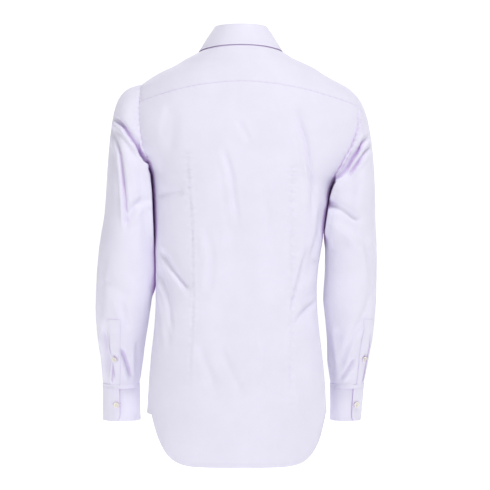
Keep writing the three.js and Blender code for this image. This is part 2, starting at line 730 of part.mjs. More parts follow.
// Cuffs: a band from its free edge once around the wrist and on under itself
for (const side of ['left', 'right']) {
  const start = CUFF_EDGE[side];
  const angles = [...CUFF_FIRST_ANGLES];
  for (let angle = CUFF_ANGLE_START; angle <= 360 + CUFF_OVERLAP; angle += CUFF_ANGLE_STEP) {
    angles.push(angle);
  }
  const sunk = (angle) => (DOUBLED_CLOTH + LAP_GAP) * smooth(CUFF_RAMP_START, CUFF_RAMP_END, angle);
  const cuffPoint = (angle, height, inward) => {
    const turn = 180 - start + angle;
    const point = armPoint(side, turn, height);
    const middle = armPoint(side, turn + 180, height).add(point).multiplyScalar(0.5);
    const inwards = middle.sub(point).normalize();
    return point.addScaledVector(inwards, inward);
  };
  const bottomAt = (angle) => {
    const along = Math.min(radians(angle) * CUFF_RADIUS, CUFF_CORNER);
    return CUFF_BOTTOM + CUFF_CORNER - Math.sqrt(CUFF_CORNER ** 2 - (CUFF_CORNER - along) ** 2);
  };
  const layer = (inward) => spread(CUFF_ROWS, (v) => angles.map((angle) => (
    cuffPoint(angle, lerp(bottomAt(angle), CUFF_TOP, v), sunk(angle) + inward)
  )));
  addPiece('cuff_' + side, wallGeometry(layer(0), layer(DOUBLED_CLOTH), false), CLOTH_LOOK);
}

// Collar: the stand laps like the fronts, and the leaf turns over its top edge
function standSunk(angle) {
  return (DOUBLED_CLOTH + LAP_GAP) * smooth(STAND_RAMP_START, STAND_RAMP_END, angle);
}

function outwardAt(point) {
  return vec(point.x, point.y, 0).normalize();
}

function standBottom(angle) {
  return bodyPoint(angle, NECK_LEVEL).add(vec(0, 0, STAND_GAP));
}

function standTop(angle) {
  const c = Math.cos(radians(angle));
  const s = Math.sin(radians(angle));
  const reach = s > 0 ? STAND_TOP.back : STAND_TOP.front;
  const middle = s > 0 ? STAND_TOP.backHeight : STAND_TOP.frontHeight;
  return vec(STAND_TOP.half * c, reach * s, lerp(STAND_TOP.sideHeight, middle, s * s));
}

function standLayer(inward) {
  const lap = (Math.asin(LAP_HALF / STAND_TOP.front) * 180) / Math.PI;
  return spread(STAND_ROWS, (v) => spread(STAND_STEPS, (u) => {
    const angle = lerp(-90 - lap, 270 + lap, u);
    const point = standBottom(angle).lerp(standTop(angle), v);
    return point.addScaledVector(outwardAt(point), -inward - standSunk(angle));
  }));
}

addPiece('collar_stand', wallGeometry(standLayer(0), standLayer(DOUBLED_CLOTH), false), CLOTH_LOOK);

function leafEdgeLevel(along) {
  const drop = Math.max((along - LEAF_DROP_START) / (1 - LEAF_DROP_START), 0);
  return lerp(LEAF_BACK_LEVEL, LEAF_POINT_LEVEL, drop ** 2);
}

const leafRows = spread(LEAF_ROLL.length - 1 + LEAF_FALL_ROWS, (v, k) => spread(LEAF_STEPS, (u) => {
  const across = 2 * u - 1;
  const topAngle = 90 + across * (90 + LEAF_END_ANGLE);
  const edgeAngle = 90 + across * (90 + LEAF_POINT_ANGLE);
  const root = standTop(topAngle);
  root.addScaledVector(outwardAt(root), -DOUBLED_CLOTH / 2 - standSunk(topAngle));
  const rolled = ([up, out]) => root.clone().addScaledVector(outwardAt(root), out).add(vec(0, 0, up));
  if (k < LEAF_ROLL.length) {
    return rolled(LEAF_ROLL[k]);
  }
  const level = leafEdgeLevel(Math.abs(across));
  const edge = bodyPoint(edgeAngle, level).addScaledVector(bodyNormal(edgeAngle, level), LEAF_LIFT);
  return rolled(LEAF_ROLL.at(-1)).lerp(edge, (k - LEAF_ROLL.length + 1) / LEAF_FALL_ROWS);
}));

function sheetNormals(rows) {
  return rows.map((row, r) => row.map((point, c) => {
    const along = row[Math.min(c + 1, row.length - 1)].clone().sub(row[Math.max(c - 1, 0)]);
    const below = rows[Math.min(r + 1, rows.length - 1)][c];
    const down = below.clone().sub(rows[Math.max(r - 1, 0)][c]);
    return down.cross(along).normalize();
  }));
}

const leafNormals = sheetNormals(leafRows);
const leafInner = leafRows.map((row, r) => row.map((point, c) => (
  point.clone().addScaledVector(leafNormals[r][c], -CLOTH)
)));
addPiece('collar_leaf', wallGeometry(leafRows, leafInner, false), CLOTH_LOOK);

// Buttons: a disc with a rounded rim, lying on the cloth
function addButton(name, radius, place, normal, lift = SEAM_GAP) {
  const profile = [
    [0, 0],
    [radius - BUTTON_RIM, 0],
    [radius, BUTTON_RIM],
    [radius, BUTTON_THICKNESS - BUTTON_RIM],
    [radius - BUTTON_RIM, BUTTON_THICKNESS],
    [0, BUTTON_THICKNESS],
  ].map(([x, y]) => new THREE.Vector2(x, y));
  const geometry = new THREE.LatheGeometry(profile, BUTTON_STEPS);
  const turn = new THREE.Quaternion().setFromUnitVectors(vec(0, 1, 0), normal);
  const mesh = new THREE.Mesh(geometry, new THREE.MeshStandardMaterial(BUTTON_LOOK));
  mesh.name = name;
  mesh.quaternion.copy(turn);
  mesh.position.copy(place.clone().addScaledVector(normal, lift));
  shirt.add(mesh);
}

for (let k = 0; k < FRONT_BUTTONS; k += 1) {
  const level = levelAt(270, FIRST_BUTTON - k * BUTTON_SPACING);
  addButton('button_front_' + (k + 1), BUTTON_RADIUS, bodyPoint(270, level), bodyNormal(270, level));
}

for (const side of ['left', 'right']) {
  const { points, normals } = sleeves[side];
  const row = points.length - 1 - GAUNTLET_BUTTON_ROW;
  const column = GAUNTLET_COLUMN[side] + GAUNTLET_COLUMNS / 2;
  const normal = normals[row][column];
  const lift = CLOTH + 2 * SEAM_GAP;
  addButton('button_gauntlet_' + side, SMALL_BUTTON_RADIUS, points[row][column], normal, lift);
  const turn = 180 - CUFF_EDGE[side] + CUFF_BUTTON_ANGLE[side];
  const height = lerp(CUFF_TOP, CUFF_BOTTOM, CUFF_BUTTON_DROP);
  const cuffNormal = surfaceNormal((a, b) => armPoint(side, a, b), turn, height, 1, -1);
  cuffNormal.multiplyScalar(ARMHOLES[side].sign);
  addButton('button_cuff_' + side, BUTTON_RADIUS, armPoint(side, turn, height), cuffNormal);
}

const standMiddle = standBottom(270).lerp(standTop(270), 0.5);
const standLean = standTop(270).sub(standBottom(270));
addButton('button_collar', BUTTON_RADIUS, standMiddle, vec(0, -standLean.z, standLean.y).normalize());

export default shirt;
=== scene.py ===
# Long sleeve dress shirt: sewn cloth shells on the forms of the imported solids.
# Sizes are in millimetres in the frame of the solids, and turn into metres where meshes are made.
import math

import bmesh
import bpy
import numpy as np
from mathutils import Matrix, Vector


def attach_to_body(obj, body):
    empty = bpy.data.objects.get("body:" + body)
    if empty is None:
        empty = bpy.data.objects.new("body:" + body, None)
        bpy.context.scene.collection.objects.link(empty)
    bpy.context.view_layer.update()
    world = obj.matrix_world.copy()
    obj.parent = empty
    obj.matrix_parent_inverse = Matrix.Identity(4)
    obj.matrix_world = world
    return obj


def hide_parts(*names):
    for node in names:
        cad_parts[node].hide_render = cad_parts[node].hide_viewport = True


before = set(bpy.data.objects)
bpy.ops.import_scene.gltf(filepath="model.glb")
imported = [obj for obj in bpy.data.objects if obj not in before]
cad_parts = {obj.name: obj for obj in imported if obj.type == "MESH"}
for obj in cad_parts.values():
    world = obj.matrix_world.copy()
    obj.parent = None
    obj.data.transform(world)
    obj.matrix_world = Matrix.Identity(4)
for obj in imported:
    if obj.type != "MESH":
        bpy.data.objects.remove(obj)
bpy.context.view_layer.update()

METRES = 0.001
SIDES = ("left", "right")
SIGN = {"left": 1, "right": -1}

# Body sections from the tails to the neck seam: height at the side, rise at the centre back,
# drop at the centre front, reach to the left, right, back and front, and squareness
SECTIONS = np.array([
    [-800, 0, 0, 172, 158, 114, 118, 2.3],
    [-720, 0, 0, 173, 158, 114, 118, 2.3],
    [-650, 0, 0, 172, 156, 109, 117, 2.3],
    [-590, 0, 0, 168, 152, 101, 114, 2.3],
    [-530, 0, 0, 161, 145, 92, 112, 2.3],
    [-475, 0, 0, 158, 141, 88, 111, 2.3],
    [-420, 0, 0, 158, 143, 92, 114, 2.3],
    [-365, 0, 0, 159, 151, 100, 119, 2.3],
    [-310, 0, 0, 161, 159, 107, 123, 2.35],
    [-278, 0, 0, 162, 164, 110, 125, 2.4],
    [-256, 0, 0, 164, 172, 111, 125, 2.4],
    [-238, 0, 0, 167, 188, 111, 125, 2.4],
    [-215, 0, 0, 181, 210, 110, 124, 2.4],
    [-190, 0, 0, 200, 231, 108, 121, 2.4],
    [-160, 0, 2, 212, 242, 106, 117, 2.4],
    [-130, 0, 7, 212, 234, 103, 112, 2.4],
    [-108, 0, 13, 203, 221, 100, 108, 2.4],
    [-90, 0, 18, 193, 206, 96, 104, 2.4],
    [-76, 0, 23, 184, 185, 92, 100, 2.35],
    [-60, 0, 28, 160, 156, 87, 95, 2.3],
    [-44, 1, 33, 126, 132, 80, 89, 2.2],
    [-30, 3, 38, 104, 101, 73, 83, 2.15],
    [-19, 6, 42, 83, 82, 66, 78, 2.1],
    [-10, 10, 45, 64, 64, 59, 73, 2.05],
], float)
NECK_LEVEL = len(SECTIONS) - 1

# Armholes: heights of the shoulder tip and the underarm, how far the edge opens to the back and
# the front, and where the yoke's seams meet it, in degrees around it from the underarm
ARMHOLES = {
    "left": {"tip": -76, "underarm": -235, "back": 33, "front": 31, "yoke_back": 124, "yoke_front": 231},
    "right": {"tip": -96, "underarm": -257, "back": 33, "front": 31, "yoke_back": 135, "yoke_front": 226},
}
PANEL_STEPS = 9
YOKE_STEPS = 3
AROUND = 2 * (PANEL_STEPS + YOKE_STEPS)

YOKE_BACK_HEIGHT = -77
YOKE_FALL_POWER = 1.8
YOKE_NECK_ANGLE = 30
HEM_SIDE = -681
HEM_BACK = -770
HEM_FRONT = -757
HEM_CURVE_REACH = {"left": 0.935, "right": 0.985}
HEM_CURVE_POWER = 6.5
LAP_HALF = 16
LAP_RAMP = (-52, -24)
LAP_DEPTH = 1.9
FRONT_SEAM_ANGLE = 36

# Arm sections: height, outer and inner reach, how far back the middle is, half the depth
ARMS = {
    "left": np.array([
        [-250, 247, 166, 2, 68],
        [-310, 252, 162.5, 0, 66],
        [-365, 261, 161, -3, 62],
        [-420, 267, 160, -6, 57],
        [-470, 270, 165, -9, 53],
        [-512, 270, 171, -17, 50],
        [-550, 267, 178, -28, 47],
        [-588, 262, 184, -41, 43],
        [-632, 261, 190, -58, 38],
        [-702, 262, 190, -77, 38],
    ], float),
    "right": np.array([
        [-250, 249, 171, 2, 68],
        [-310, 249, 160.5, 0, 66],
        [-365, 251, 156, -3, 62],
        [-420, 251, 155, -6, 57],
        [-470, 251, 152, -9, 53],
        [-512, 249, 157, -17, 50],
        [-550, 245, 161, -28, 47],
        [-588, 238, 162, -41, 43],
        [-632, 232, 167, -58, 37],
        [-702, 227, 168, -77, 37],
    ], float),
}
CAP_END = -310
CUFF_TOP = -632
CUFF_BOTTOM = -702
CAP_FULLNESS = 0.68
SLEEVE_GAP = 0.5
SLEEVE_REACH = 8.0

# How each sleeve leaves its armhole: outward and downward at the tip, the same at the underarm, swell
CAP_LEAVES = {"left": (62, 2, 0.5, 8, 8), "right": (20, 20, 0.5, 8, 8)}

CUFF_EDGE = {"left": 88, "right": 70}
CUFF_OVERLAP = 36
CUFF_CORNER = 12
CUFF_CLOTH = 1.8
CUFF_BUTTON_ANGLE = {"left": 9, "right": 14}
CUFF_BUTTON_DROP = 0.55
GAUNTLET_COLUMN = {"left": 6, "right": 8}
GAUNTLET_COLUMNS = 2
GAUNTLET_ROWS = 5
GAUNTLET_BUTTON_ROW = 2

STAND_HALF = 46
STAND_BACK = 53
STAND_FRONT = 68
STAND_HEIGHTS = {"side": 28, "back": 28, "front": -28}
LEAF_END_ANGLE = 84
LEAF_POINT_ANGLE = 73
LEAF_LIFT = 2.0
LEAF_ROLL = ((1.1, 0), (3.0, 1.0), (3.0, 3.4), (0.8, 5.0))
LEAF_BACK_LEVEL = 22.3
LEAF_POINT_LEVEL = 19.3

BUTTON_RADIUS = 5.5
SMALL_BUTTON_RADIUS = 4.75
BUTTON_THICKNESS = 2.4
FRONT_BUTTONS = 6
FIRST_BUTTON = -114
BUTTON_SPACING = 95

# Mesh steps in one step of the solids
FINE_AROUND = 8
FINE_DOWN = 8

# Folds of the solids, then finer ones: face (1 back, -1 front), width, depth (below 0 a trough),
# ridge (how much rises on the left of the line's way), and the line's points as x and height
BACK = 1
FRONT = -1
BODY_FOLDS = (
    (BACK, 13, -4.0, 0, ((154, -375), (88, -462))),
    (BACK, 12, -3.5, 0, ((156, -402), (120, -500))),
    (BACK, 12, -3.0, 0, ((160, -280), (100, -276))),
    (BACK, 11, -2.5, 0, ((124, -118), (125, -215))),
    (BACK, 11, -2.6, 0, ((34, -195), (12, -400))),
    (BACK, 11, -3.0, 0, ((-93, -110), (-121, -238))),
    (BACK, 11, -2.6, 0, ((-121, -238), (-134, -330))),
    (BACK, 11, -4.0, 0, ((-138, -395), (-104, -452))),
    (BACK, 11, -3.4, 0, ((-140, -440), (-112, -510))),
    (BACK, 12, -2.6, 0, ((84, -560), (44, -634))),
    (BACK, 12, -2.6, 0, ((46, -556), (-8, -650))),
    (FRONT, 13, -3.6, 0, ((150, -250), (92, -330))),
    (FRONT, 13, -3.6, 0, ((152, -395), (84, -470))),
    (FRONT, 12, -3.0, 0, ((148, -450), (108, -540))),
    (FRONT, 13, -3.6, 0, ((-158, -262), (-96, -335))),
    (FRONT, 13, -3.6, 0, ((-138, -400), (-80, -476))),
    (FRONT, 12, -3.0, 0, ((-134, -455), (-100, -545))),
)
SLEEVE_FOLDS = {
    "left": (
        (BACK, 11, -6.0, 0, ((236, -140), (176, -230))),
        (BACK, 11, -4.0, 0, ((238, -165), (212, -290))),
        (BACK, 12, -3.5, 0, ((212, -318), (176, -292))),
        (BACK, 13, -4.5, 0, ((258, -430), (196, -478))),
        (BACK, 9, -4.0, 0, ((256, -505), (246, -612))),
        (BACK, 9, -3.5, 0, ((222, -560), (200, -624))),
        (FRONT, 12, -4.5, 0, ((236, -150), (190, -250))),
        (FRONT, 13, -6.5, 0, ((250, -450), (184, -440))),
        (FRONT, 12, -5.0, 0, ((262, -486), (190, -478))),
    ),
    "right": (
        (BACK, 11, -6.0, 0, ((-238, -172), (-178, -262))),
        (BACK, 10, -4.0, 0, ((-228, -212), (-190, -292))),
        (BACK, 13, -5.0, 0, ((-240, -372), (-170, -318))),
        (BACK, 12, -4.0, 0, ((-236, -520), (-190, -618))),
        (BACK, 9, -3.0, 0, ((-176, -520), (-184, -610))),
        (FRONT, 12, -4.5, 0, ((-232, -175), (-192, -270))),
        (FRONT, 13, -6.5, 0, ((-238, -452), (-170, -438))),
        (FRONT, 12, -5.0, 0, ((-244, -490), (-176, -480))),
    ),
}
BODY_CREASES = (
    (BACK, 6, -3.8, 0.6, ((34, -190), (18, -240), (4, -350))),
    (BACK, 5, -2.4, 0.6, ((7, -147), (-4, -166), (-18, -190))),
    (BACK, 5, -3.6, 0.7, ((-96, -122), (-117, -185), (-130, -264), (-127, -330))),
    (BACK, 7, -0.8, 0.5, ((126, -112), (136, -150), (142, -190))),
    (BACK, 6, -1.0, 0.5, ((158, -283), (130, -280), (98, -275))),
    (BACK, 5, -4.4, 0.6, ((154, -368), (128, -412), (88, -464))),
    (BACK, 5, -4.2, 0.6, ((154, -402), (136, -460), (124, -540))),
    (BACK, 5, -2.7, 0.6, ((151, -446), (138, -498), (130, -566))),
    (BACK, 5, -4.2, 0.6, ((-124, -366), (-105, -440), (-90, -496))),
    (BACK, 5, -3.8, 0.6, ((-146, -470), (-116, -490), (-92, -520))),
    (BACK, 6, -3.4, 0.5, ((-148, -290), (-142, -352), (-122, -412))),
    (BACK, 8, -2.4, 0.5, ((80, -535), (60, -590), (38, -650))),
    (BACK, 8, -2.0, 0.5, ((42, -545), (20, -590), (-6, -645))),
    (BACK, 9, -2.4, 0.4, ((-38, -240), (-52, -340), (-46, -440))),
    (BACK, 8, -2.2, 0.5, ((64, -330), (52, -400), (60, -470))),
    (BACK, 9, -2.2, 0.4, ((-30, -500), (-44, -570), (-36, -650))),
    (BACK, 9, -2.0, 0.4, ((-120, -560), (-112, -620), (-118, -680))),
    (FRONT, 6, -3.0, 0.5, ((124, -190), (96, -240), (66, -262))),
    (FRONT, 6, -3.0, 0.5, ((-128, -200), (-98, -250), (-68, -270))),
    (FRONT, 5, -2.7, 0.5, ((146, -430), (120, -470), (92, -520))),
    (FRONT, 5, -2.7, 0.5, ((-132, -432), (-108, -474), (-82, -524))),
    (FRONT, 7, -2.4, 0.5, ((70, -560), (54, -610), (50, -670))),
)
SLEEVE_CREASES = {
    "left": (
        (BACK, 5, -9.0, 0.6, ((246, -128), (212, -158), (182, -196), (160, -240))),
        (BACK, 7, -8.0, 0, ((188, -190), (173, -216), (163, -270))),
        (BACK, 4, -5.5, 0.6, ((244, -140), (220, -207), (210, -290), (206, -360))),
        (BACK, 14, 10.0, 0, ((172, -190), (171, -265), (168, -390))),
        (BACK, 6, -4.8, 0, ((186, -208), (181, -262), (177, -330), (173, -392))),
        (BACK, 6, -4.2, 0.6, ((212, -338), (194, -304), (170, -282))),
        (BACK, 7, -2.7, 0.5, ((250, -380), (258, -450), (260, -530))),
        (BACK, 7, -3.6, 0.5, ((222, -470), (212, -500), (204, -532))),
        (BACK, 4.5, -5.1, 0.6, ((258, -520), (251, -573), (247, -628))),
        (BACK, 4, -3.0, 0.6, ((246, -560), (240, -590), (236, -626))),
        (BACK, 4.5, -4.8, 0.6, ((224, -556), (212, -590), (202, -628))),
        (BACK, 4, -3.9, 0.6, ((192, -546), (193, -590), (194, -628))),
        (FRONT, 6, -4.5, 0.5, ((240, -150), (215, -200), (186, -256))),
        (FRONT, 7, -3.9, 0.5, ((256, -430), (224, -452), (178, -448))),
        (FRONT, 5, -3.6, 0.6, ((214, -540), (212, -590), (210, -628))),
        (FRONT, 5, -3.3, 0.6, ((240, -550), (236, -590), (232, -628))),
    ),
    "right": (
        (BACK, 5, -9.0, 0.6, ((-168, -285), (-177, -250), (-200, -213), (-246, -162))),
        (BACK, 4, -5.0, 0.6, ((-183, -256), (-213, -222), (-246, -182))),
        (BACK, 14, 10.0, 0, ((-177, -215), (-176, -275), (-168, -385))),
        (BACK, 8, -8.0, 0, ((-158, -286), (-184, -308), (-222, -334))),
        (BACK, 9, 3.6, 0, ((-166, -322), (-190, -350), (-216, -382))),
        (BACK, 6, -3.3, 0.5, ((-226, -352), (-236, -400), (-240, -450))),
        (BACK, 7, -4.2, 0.5, ((-176, -622), (-194, -564), (-230, -491), (-246, -436))),
        (BACK, 4, -3.9, 0.6, ((-181, -628), (-199, -601), (-216, -580))),
        (BACK, 5, -3.9, 0.6, ((-174, -628), (-165, -564), (-158, -510))),
        (FRONT, 6, -4.5, 0.5, ((-238, -180), (-214, -222), (-184, -276))),
        (FRONT, 7, -3.9, 0.5, ((-246, -432), (-212, -452), (-168, -446))),
        (FRONT, 5, -3.6, 0.6, ((-192, -540), (-190, -590), (-188, -628))),
        (FRONT, 5, -3.3, 0.6, ((-216, -550), (-210, -590), (-206, -628))),
    ),
}

# Darts of the back: x at each height, from the top down
DARTS = {
    "left": ((98, -196), (97, -202), (88, -345), (86.5, -471), (92, -615), (93, -640)),
    "right": ((-91.4, -222), (-91.6, -229), (-92, -489), (-88, -651), (-88, -668)),
}

# Sewing
STITCH_PITCH = 2.8
STITCH_LENGTH = 1.9
STITCH_RADIUS = 0.16
EDGE_STITCH = 1.8
CUFF_STITCH = 5.5
HEM_STITCH = 6.0
TURNED_DEPTH = 0.6
TURNED_WIDTH = 5.0


def smooth(start, end, value):
    t = np.clip((value - start) / (end - start), 0, 1)
    return t * t * (3 - 2 * t)


def lerp(a, b, t):
    return a + (b - a) * t


def unit(vectors):
    return vectors / np.maximum(np.linalg.norm(vectors, axis=-1, keepdims=True), 1e-12)


def signed_power(value, power):
    return np.sign(value) * np.abs(value) ** power


def between(rows, place):
    """All the columns of a table at places between its rows."""
    place = np.asarray(place, float)
    last = len(rows) - 1
    i = np.clip(np.floor(place).astype(int), 0, last - 1)
    t = (place - i)[..., None]
    a, b, c, d = (rows[np.clip(i + k, 0, last)] for k in (-1, 0, 1, 2))
    return b + 0.5 * t * (c - a + t * (2 * a - 5 * b + 4 * c - d + t * (3 * (b - c) + d - a)))


def place_where(height, value, low, high):
    """The places where a rising function reaches the values."""
    value = np.asarray(value, float)
    a = np.full(value.shape, float(low))
    b = np.full(value.shape, float(high))
    for _ in range(36):
        middle = (a + b) / 2
        below = height(middle) < value
        a = np.where(below, middle, a)
        b = np.where(below, b, middle)
    return (a + b) / 2


def fold_depth(folds, points, normals):
    """How far folds move the cloth at points, each a soft trough with a ridge beside it."""
    x, z = points[..., 0], points[..., 2]
    total = np.zeros(x.shape)
    for face, width, depth, ridge, line in folds:
        line = np.array(line, float)
        steps = np.linalg.norm(np.diff(line, axis=0), axis=1)
        starts = np.concatenate([[0], np.cumsum(steps)])
        nearest = np.full(x.shape, np.inf)
        along = np.zeros(x.shape)
        side = np.zeros(x.shape)
        for k, step in enumerate(steps):
            dx, dz = (line[k + 1] - line[k]) / step
            t = np.clip((x - line[k, 0]) * dx + (z - line[k, 1]) * dz, 0, step)
            away_x, away_z = x - line[k, 0] - t * dx, z - line[k, 1] - t * dz
            away = np.hypot(away_x, away_z)
            closer = away < nearest
            nearest = np.where(closer, away, nearest)
            along = np.where(closer, (starts[k] + t) / starts[-1], along)
            side = np.where(closer, np.sign(dx * away_z - dz * away_x), side)
        ends = smooth(0, 0.25, along) * smooth(1, 0.75, along)
        facing = smooth(0.05, 0.45, normals[..., 1] * face)
        profile = np.exp(-((nearest / width) ** 2))
        if ridge:
            profile = profile - ridge * np.exp(-(((side * nearest - 1.7 * width) / width) ** 2))
        total += depth * ends * facing * profile
    return total


def drape(points):
    """The slight unevenness of hanging cloth."""
    x, y, z = (points[..., k] for k in range(3))
    return (
        0.75 * np.sin(x / 17 + 0.7 * np.sin(z / 83) + y / 29)
        * (0.5 + 0.5 * np.sin(z / 118 + x / 71))
        + 0.3 * np.sin(x / 8.3 + 1.5 * np.sin(z / 67) + y / 13) * np.sin(z / 90 + x / 37 + 0.6)
        + 0.4 * np.sin(z / 31 + x / 43 + 1.3)
        * np.sin(x / 26 - z / 97 + y / 23)
        + 0.1 * np.sin(x / 6.1 + z / 13) * np.sin(z / 9.7 - x / 17 + y / 7)
    )


def body_plain(angle, level):
    """Body surface: angle 0 is the wearer's left side, 90 the back, 180 the right side, 270 the front."""
    side, rise, drop, left, right, back, front, square = np.moveaxis(between(SECTIONS, level), -1, 0)
    c, n = np.cos(np.radians(angle)), np.sin(np.radians(angle))
    return np.stack([
        np.where(c > 0, left, right) * signed_power(c, 2 / square),
        np.where(n > 0, back, front) * signed_power(n, 2 / square),
        side + np.where(n > 0, rise, -drop) * n * n,
    ], -1)


def surface_normal(surface, a, b, step_a, step_b):
    along_a = surface(a + step_a, b) - surface(a - step_a, b)
    along_b = surface(a, b + step_b) - surface(a, b - step_b)
    return unit(np.cross(along_a, along_b))


def body_point(angle, level):
    angle, level = np.broadcast_arrays(np.asarray(angle, float), np.asarray(level, float))
    point = body_plain(angle, level)
    normal = surface_normal(body_plain, angle, level, 0.4, 0.04)
    return point + normal * fold_depth(BODY_FOLDS, point, normal)[..., None]


def body_normal(angle, level):
    return surface_normal(body_point, np.asarray(angle, float), np.asarray(level, float), 0.4, 0.04)


def dressed_body(angle, level):
    """The body surface with its finer creases and the unevenness of the cloth."""
    point = body_point(angle, level)
    normal = surface_normal(body_plain, np.asarray(angle, float), np.asarray(level, float), 0.4, 0.04)
    fine = fold_depth(BODY_CREASES, point, normal) + drape(point)
    fine = fine * smooth(NECK_LEVEL, NECK_LEVEL - 3, np.asarray(level, float))
    return point + normal * fine[..., None]


def level_at_side(height):
    return place_where(lambda level: between(SECTIONS, level)[..., 0], height, 0, NECK_LEVEL)


def level_at(angle, height):
    angle, height = np.broadcast_arrays(np.asarray(angle, float), np.asarray(height, float))
    return place_where(lambda level: body_plain(angle, level)[..., 2], height, 0, NECK_LEVEL)


def armhole_place(side, turn):
    """Angle and level on the armhole, at turns around it: 0 at the underarm, 90 at the back."""
    hole = ARMHOLES[side]
    rise = (1 - np.cos(np.radians(turn))) / 2
    opening = np.where(turn < 180, hole["back"], hole["front"]) * np.sin(np.radians(turn))
    angle = (0 if side == "left" else 180) + SIGN[side] * opening
    return np.stack([angle, level_at_side(lerp(hole["underarm"], hole["tip"], rise))], -1)


def armhole_turns(side):
    hole = ARMHOLES[side]
    stops = (0, hole["yoke_back"], 180, hole["yoke_front"], 360)
    steps = (PANEL_STEPS, YOKE_STEPS, YOKE_STEPS, PANEL_STEPS)
    parts = [
        np.linspace(stops[k], stops[k + 1], count * FINE_AROUND, endpoint=False)
        for k, count in enumerate(steps)
    ]
    return np.concatenate(parts)


def arm_point(side, turn, height):
    turn, height = np.broadcast_arrays(np.asarray(turn, float), np.asarray(height, float))
    rows = ARMS[side]
    place = place_where(lambda k: -between(rows, k)[..., 0], -height, 0, len(rows) - 1)
    _, outer, inner, middle, depth = np.moveaxis(between(rows, place), -1, 0)
    angle = np.radians(180 - turn)
    x = SIGN[side] * ((outer + inner) / 2 + (outer - inner) / 2 * np.cos(angle))
    return np.stack([x, middle + depth * np.sin(angle), height], -1)


def ring_normals(grid, sign):
    """Outward normals of rings of points that run downward, closed around."""
    around = np.roll(grid, -1, 1) - np.roll(grid, 1, 1)
    return unit(np.cross(around, np.gradient(grid, axis=0))) * sign


def sheet_normals(grid, sign=1):
    return unit(np.cross(np.gradient(grid, axis=1), np.gradient(grid, axis=0))) * sign


def lay_beside_body(grid, normals, side):
    """Lays the inner face of a sleeve along the side of the body, just clear of it."""
    levels = np.linspace(0, armhole_place(side, np.array([0.0]))[0, 1], 80)
    flank = dressed_body(np.full(80, 0.0 if side == "left" else 180.0), levels)
    gap = np.abs(grid[..., 0]) - np.interp(grid[..., 2], flank[:, 2], np.abs(flank[:, 0]))
    inward = smooth(0.2, 0.7, -SIGN[side] * normals[..., 0])
    shift = (gap - SLEEVE_GAP) * smooth(SLEEVE_REACH, SLEEVE_REACH / 2, gap) * inward
    shift = shift * smooth(-150, -180, grid[..., 2])
    return grid - shift[..., None] * np.array([SIGN[side], 0, 0])


def sleeve_form(side):
    """Points of a whole sleeve from its armhole to its cuff, with the solid's folds."""
    sign = SIGN[side]
    turns = armhole_turns(side)
    count = len(turns)
    arm_turns = 360 * np.arange(count) / count
    tip_out, tip_down, under_out, under_down, swell = CAP_LEAVES[side]
    angle, level = np.moveaxis(armhole_place(side, turns), -1, 0)
    start = dressed_body(angle, level)
    end = arm_point(side, arm_turns, CAP_END)
    upward = (arm_point(side, arm_turns, CAP_END + 20) - end) / 20
    tip = (1 - np.cos(np.radians(turns))) / 2
    leave = np.stack([
        sign * lerp(under_out, tip_out, tip),
        swell * np.sin(np.radians(turns)),
        -lerp(under_down, tip_down, tip),
    ], -1)
    first = start + leave
    second = end + upward * (CAP_FULLNESS * (start[:, 2] - CAP_END))[:, None]
    rows = []
    cap_rows = 8 * FINE_DOWN
    for t in np.linspace(0, 1, cap_rows + 1):
        rows.append(
            (1 - t) ** 3 * start + 3 * t * (1 - t) ** 2 * first + 3 * t * t * (1 - t) * second + t ** 3 * end
        )
    arm_rows = 13 * FINE_DOWN
    for t in np.linspace(0, 1, arm_rows + 1)[1:]:
        rows.append(arm_point(side, arm_turns, lerp(CAP_END, CUFF_TOP, t)))
    grid = np.array(rows)
    normals = ring_normals(grid, sign)
    place = np.arange(len(grid))[:, None] / FINE_DOWN
    fade = smooth(0, 3, place) * smooth(21, 19, place)
    fine_fade = smooth(0, 1, place) * smooth(21, 20.3, place)
    move = fade * fold_depth(SLEEVE_FOLDS[side], grid, normals)
    move = move + fine_fade * (fold_depth(SLEEVE_CREASES[side], grid, normals) + 1.3 * drape(grid))
    return lay_beside_body(grid + normals * move[..., None], normals, side)


def fill_edges(bottom, top, first, last):
    """A grid of places (angle, level) between four edges on the body surface."""
    v = np.linspace(0, 1, len(first))[:, None, None]
    u = np.linspace(0, 1, len(bottom))[None, :, None]
    corners = lerp(lerp(bottom[0], bottom[-1], u), lerp(top[0], top[-1], u), v)
    return lerp(bottom[None], top[None], v) + lerp(first[:, None], last[:, None], u) - corners


def places(angle, level):
    return np.stack(np.broadcast_arrays(np.asarray(angle, float), np.asarray(level, float)), -1)


def distance_to(points, line):
    """Distance of each point to a line of points, and how far along the line that is."""
    shape = points.shape[:-1]
    flat = points.reshape(-1, 3)
    lengths = np.concatenate([[0], np.cumsum(np.linalg.norm(np.diff(line, axis=0), axis=1))])
    away = np.empty(len(flat))
    along = np.empty(len(flat))
    for start in range(0, len(flat), 4000):
        part = flat[start:start + 4000]
        squares = ((part[:, None] - line[None]) ** 2).sum(-1)
        nearest = squares.argmin(1)
        away[start:start + 4000] = np.sqrt(squares.min(1))
        along[start:start + 4000] = lengths[nearest]
    return away.reshape(shape), along.reshape(shape)


def puckers(away, along, reach, height, pitch):
    """Small ripples beside a row of stitches."""
    wave = np.sin(2 * np.pi * along / pitch + 1.7 * np.sin(along / 23))
    return height * wave * np.exp(-((away / reach) ** 2))


# Meshes

